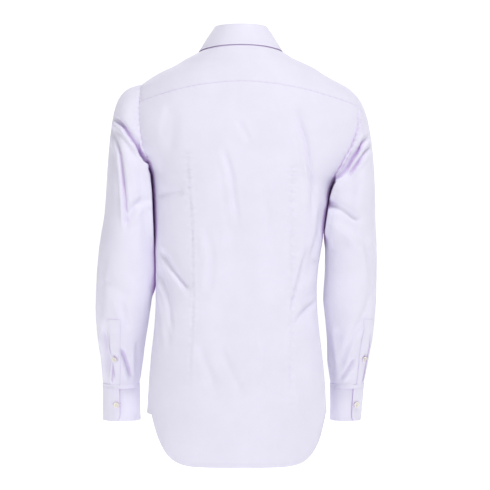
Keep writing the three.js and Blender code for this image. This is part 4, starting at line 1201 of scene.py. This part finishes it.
def make_leaf():
    across = np.linspace(-1, 1, 36 * 7 + 1)
    top_angle = 90 + across * (90 + LEAF_END_ANGLE)
    edge_angle = 90 + across * (90 + LEAF_POINT_ANGLE)
    root = stand_top(top_angle)
    root = root - outward_at(root) * (0.9 + stand_sunk(top_angle))[:, None]
    drop = np.maximum((np.abs(across) - 0.5) / 0.5, 0)
    level = lerp(LEAF_BACK_LEVEL, LEAF_POINT_LEVEL, drop ** 2)
    edge = body_point(edge_angle, level) + body_normal(edge_angle, level) * LEAF_LIFT
    roll = np.array(LEAF_ROLL, float)
    places_on_roll = np.linspace(0, len(roll) - 1, 13)
    rows = []
    for place in places_on_roll:
        up, out = between(roll, place)
        rows.append(root + outward_at(root) * out + np.array([0, 0, up]))
    last = rows[-1]
    for t in np.linspace(0, 1, 27)[1:]:
        bow = 0.9 * math.sin(math.pi * t)
        rows.append(lerp(last, edge, t) + outward_at(last) * bow)
    outer = np.array(rows)
    normals = sheet_normals(outer)
    if normals[20, 126] @ outward_at(outer[20, 126]) < 0:
        normals = -normals
    inset = np.full(outer.shape[:2], np.inf)
    for line in (outer[-1], outer[13:, 0], outer[13:, -1]):
        inset = np.minimum(inset, distance_to(outer, line)[0])
    groove = -0.16 * np.exp(-(((inset - CUFF_STITCH) / 1.1) ** 2))
    outer = outer + normals * groove[..., None]
    inner = outer - normals * 1.2
    leaf = attach(shell_piece("cloth_collar_leaf", outer, inner, CLOTH), "cloth", "collar_leaf")
    lines = [
        row_inside(outer, normals, "bottom", CUFF_STITCH, 0.02, 0.98),
        row_inside(outer, normals, "first", CUFF_STITCH, 0.35, 0.88),
        row_inside(outer, normals, "last", CUFF_STITCH, 0.12, 0.65),
    ]
    stitches = attach(stitch_rows("stitches_collar_leaf", lines, THREAD), "cloth")


# Buttons

def button_mesh(name, radius):
    """A turned button with a raised rim and a dished middle, with no holes cut through it."""
    bm = bmesh.new()
    steps = 40
    profile = (
        (0.0, 1.55), (0.34, 1.5), (0.62, 1.6), (0.72, 2.2), (0.82, 2.4), (0.93, 2.3),
        (0.99, 1.9), (1.0, 1.2), (0.95, 0.5), (0.8, 0.05), (0.4, 0.0), (0.0, 0.0),
    )
    rings = []
    for reach, height in profile:
        if reach == 0:
            rings.append([bm.verts.new((0, 0, height * METRES))])
            continue
        ring = []
        for k in range(steps):
            a = 2 * math.pi * k / steps
            ring.append(bm.verts.new((
                radius * reach * math.cos(a) * METRES, radius * reach * math.sin(a) * METRES, height * METRES)))
        rings.append(ring)
    for a, b in zip(rings, rings[1:]):
        for k in range(steps):
            corners = [a[k % len(a)], a[(k + 1) % len(a)], b[(k + 1) % len(b)], b[k % len(b)]]
            bm.faces.new(list(dict.fromkeys(corners)))
    bmesh.ops.recalc_face_normals(bm, faces=bm.faces)
    mesh = bpy.data.meshes.new(name)
    bm.to_mesh(mesh)
    bm.free()
    mesh.materials.append(CREAM)
    mesh.polygons.foreach_set("use_smooth", [True] * len(mesh.polygons))
    return mesh


def hole_and_thread(name, radius):
    """The four holes as dark wells of painted shade."""
    bm = bmesh.new()
    spots = [(x * 0.27 * radius, y * 0.27 * radius) for x in (-1, 1) for y in (-1, 1)]
    for x, y in spots:
        made = bmesh.ops.create_cone(bm, cap_ends=True, segments=14, radius1=0.13 * radius * METRES,
                                     radius2=0.13 * radius * METRES, depth=0.3 * METRES)
        bmesh.ops.translate(bm, verts=made["verts"], vec=(x * METRES, y * METRES, 1.42 * METRES))
    mesh = bpy.data.meshes.new(name)
    bm.to_mesh(mesh)
    bm.free()
    # Painted shade: the wells are dark grey for the shade inside the holes
    mesh.materials.append(PAINTED_HOLE_SHADE)
    return mesh


def place_object(name, mesh, spot, normal, along):
    z = unit(np.asarray(normal, float))
    x = unit(np.asarray(along, float) - z * float(np.dot(along, z)))
    y = np.cross(z, x)
    points = np.empty(len(mesh.vertices) * 3)
    mesh.vertices.foreach_get("co", points)
    points = points.reshape(-1, 3) @ np.stack([x, y, z]) + np.asarray(spot) * METRES
    mesh.vertices.foreach_set("co", points.ravel())
    mesh.update()
    piece = bpy.data.objects.new(name, mesh)
    bpy.context.scene.collection.objects.link(piece)
    return piece


def add_button(name, radius, spot, normal, along):
    """A button on the cloth at a spot, its buttonhole running along a direction."""
    z = unit(np.asarray(normal, float))
    x = unit(np.asarray(along, float) - z * float(np.dot(along, z)))
    y = np.cross(z, x)
    base = np.asarray(spot, float) + z * 0.3
    button = place_object("button_" + name + "_disc", button_mesh("disc_" + name, radius), base, z, x)
    attach(button, "button", "button_" + name)
    holes = place_object("button_" + name + "_holes", hole_and_thread("holes_" + name, radius), base, z, x)
    attach(holes, "button")
    offset = 0.27 * radius
    bars = []
    for side in (-1, 1):
        ends = np.array([base + x * t * offset + y * side * offset + z * (1.66 + 0.25 * (1 - t * t))
                         for t in np.linspace(-1, 1, 5)])
        bars.append((ends, np.tile(z, (5, 1))))
    thread = stitch_rows("button_" + name + "_thread", bars, THREAD, pitch=2 * offset, length=2 * offset, radius=0.35)
    attach(thread, "cloth")
    reach = radius + 2.6
    lines = []
    for t in np.arange(-reach, reach + 0.1, 0.6):
        for side in (-1, 1):
            ends = np.array([spot + x * t + y * side * s + z * 0.12 for s in (0.15, 1.3)])
            lines.append((ends, np.tile(z, (2, 1))))
    hole = stitch_rows("buttonhole_" + name, lines, THREAD, pitch=1.1, length=1.15, radius=0.26)
    attach(hole, "cloth")


def make_front_buttons():
    for k in range(FRONT_BUTTONS):
        level = level_at(270.0, FIRST_BUTTON - k * BUTTON_SPACING)
        spot = dressed_body(270.0, level)
        normal = body_normal(270.0, level)
        add_button("front_%d" % (k + 1), BUTTON_RADIUS, spot, normal, np.array([0.0, 0, 1]))


make_body()
for each in SIDES:
    make_sleeve(each)
    make_cuff(each)
make_stand()
make_leaf()
make_front_buttons()


# Studio

def area_light(name, spot, target, size, power):
    light = bpy.data.lights.new(name, "AREA")
    light.shape = "RECTANGLE"
    light.size, light.size_y = size
    light.energy = power
    lamp = bpy.data.objects.new(name, light)
    bpy.context.scene.collection.objects.link(lamp)
    lamp.location = spot
    lamp.rotation_euler = (Vector(target) - Vector(spot)).to_track_quat("-Z", "Y").to_euler()
    return lamp


def make_stage():
    material = plain_material("studio_white", (0.93, 0.93, 0.935), 0.9)
    shader = material.node_tree.nodes["Principled BSDF"]
    shader.inputs["Emission Color"].default_value = (1, 1, 1, 1)
    shader.inputs["Emission Strength"].default_value = 0.46
    half, depth, wall, bend, wall_y = 12.0, 8.0, 9.0, 1.2, 3.6
    floor_z = -0.95
    outline = [(-depth, floor_z)]
    outline += [
        (wall_y + bend * math.sin(a), floor_z + bend * (1 - math.cos(a)))
        for a in np.linspace(0, math.pi / 2, 13)
    ]
    outline.append((wall_y + bend, wall))
    vertices = [(x, -y, z) for y, z in outline for x in (-half, half)]
    faces = [(2 * k, 2 * k + 1, 2 * k + 3, 2 * k + 2) for k in range(len(outline) - 1)]
    mesh = bpy.data.meshes.new("studio_sweep")
    mesh.from_pydata(vertices, [], faces)
    mesh.materials.append(material)
    mesh.polygons.foreach_set("use_smooth", [True] * len(mesh.polygons))
    sweep = bpy.data.objects.new("studio_sweep", mesh)
    bpy.context.scene.collection.objects.link(sweep)


def make_studio():
    scene = bpy.context.scene
    scene.view_settings.view_transform = "Standard"
    world = bpy.data.worlds.new("studio_world")
    scene.world = world
    world.use_nodes = True
    background = world.node_tree.nodes["Background"]
    background.inputs["Color"].default_value = (1, 1, 1, 1)
    background.inputs["Strength"].default_value = 0.3
    area_light("key", (-0.8, 1.7, 2.7), (0, 0, -0.3), (0.7, 0.7), 70)
    area_light("fill", (1.2, 2.2, -0.6), (0, 0, -0.55), (1.4, 0.8), 5)
    area_light("front", (0.8, -2.4, 1.4), (0, 0, -0.4), (2.0, 2.0), 12)


CAMERA_SPOT = (-0.0074, 3.2, -0.372)
CAMERA_LENS = 127.08


def make_camera():
    camera = bpy.data.cameras.new("camera")
    camera.lens = CAMERA_LENS
    camera.sensor_width = 36
    camera.clip_start, camera.clip_end = 0.1, 50
    holder = bpy.data.objects.new("camera", camera)
    bpy.context.scene.collection.objects.link(holder)
    holder.location = CAMERA_SPOT
    holder.rotation_euler = (math.pi / 2, 0, math.pi)
    bpy.context.scene.camera = holder


make_stage()
make_studio()
make_camera()
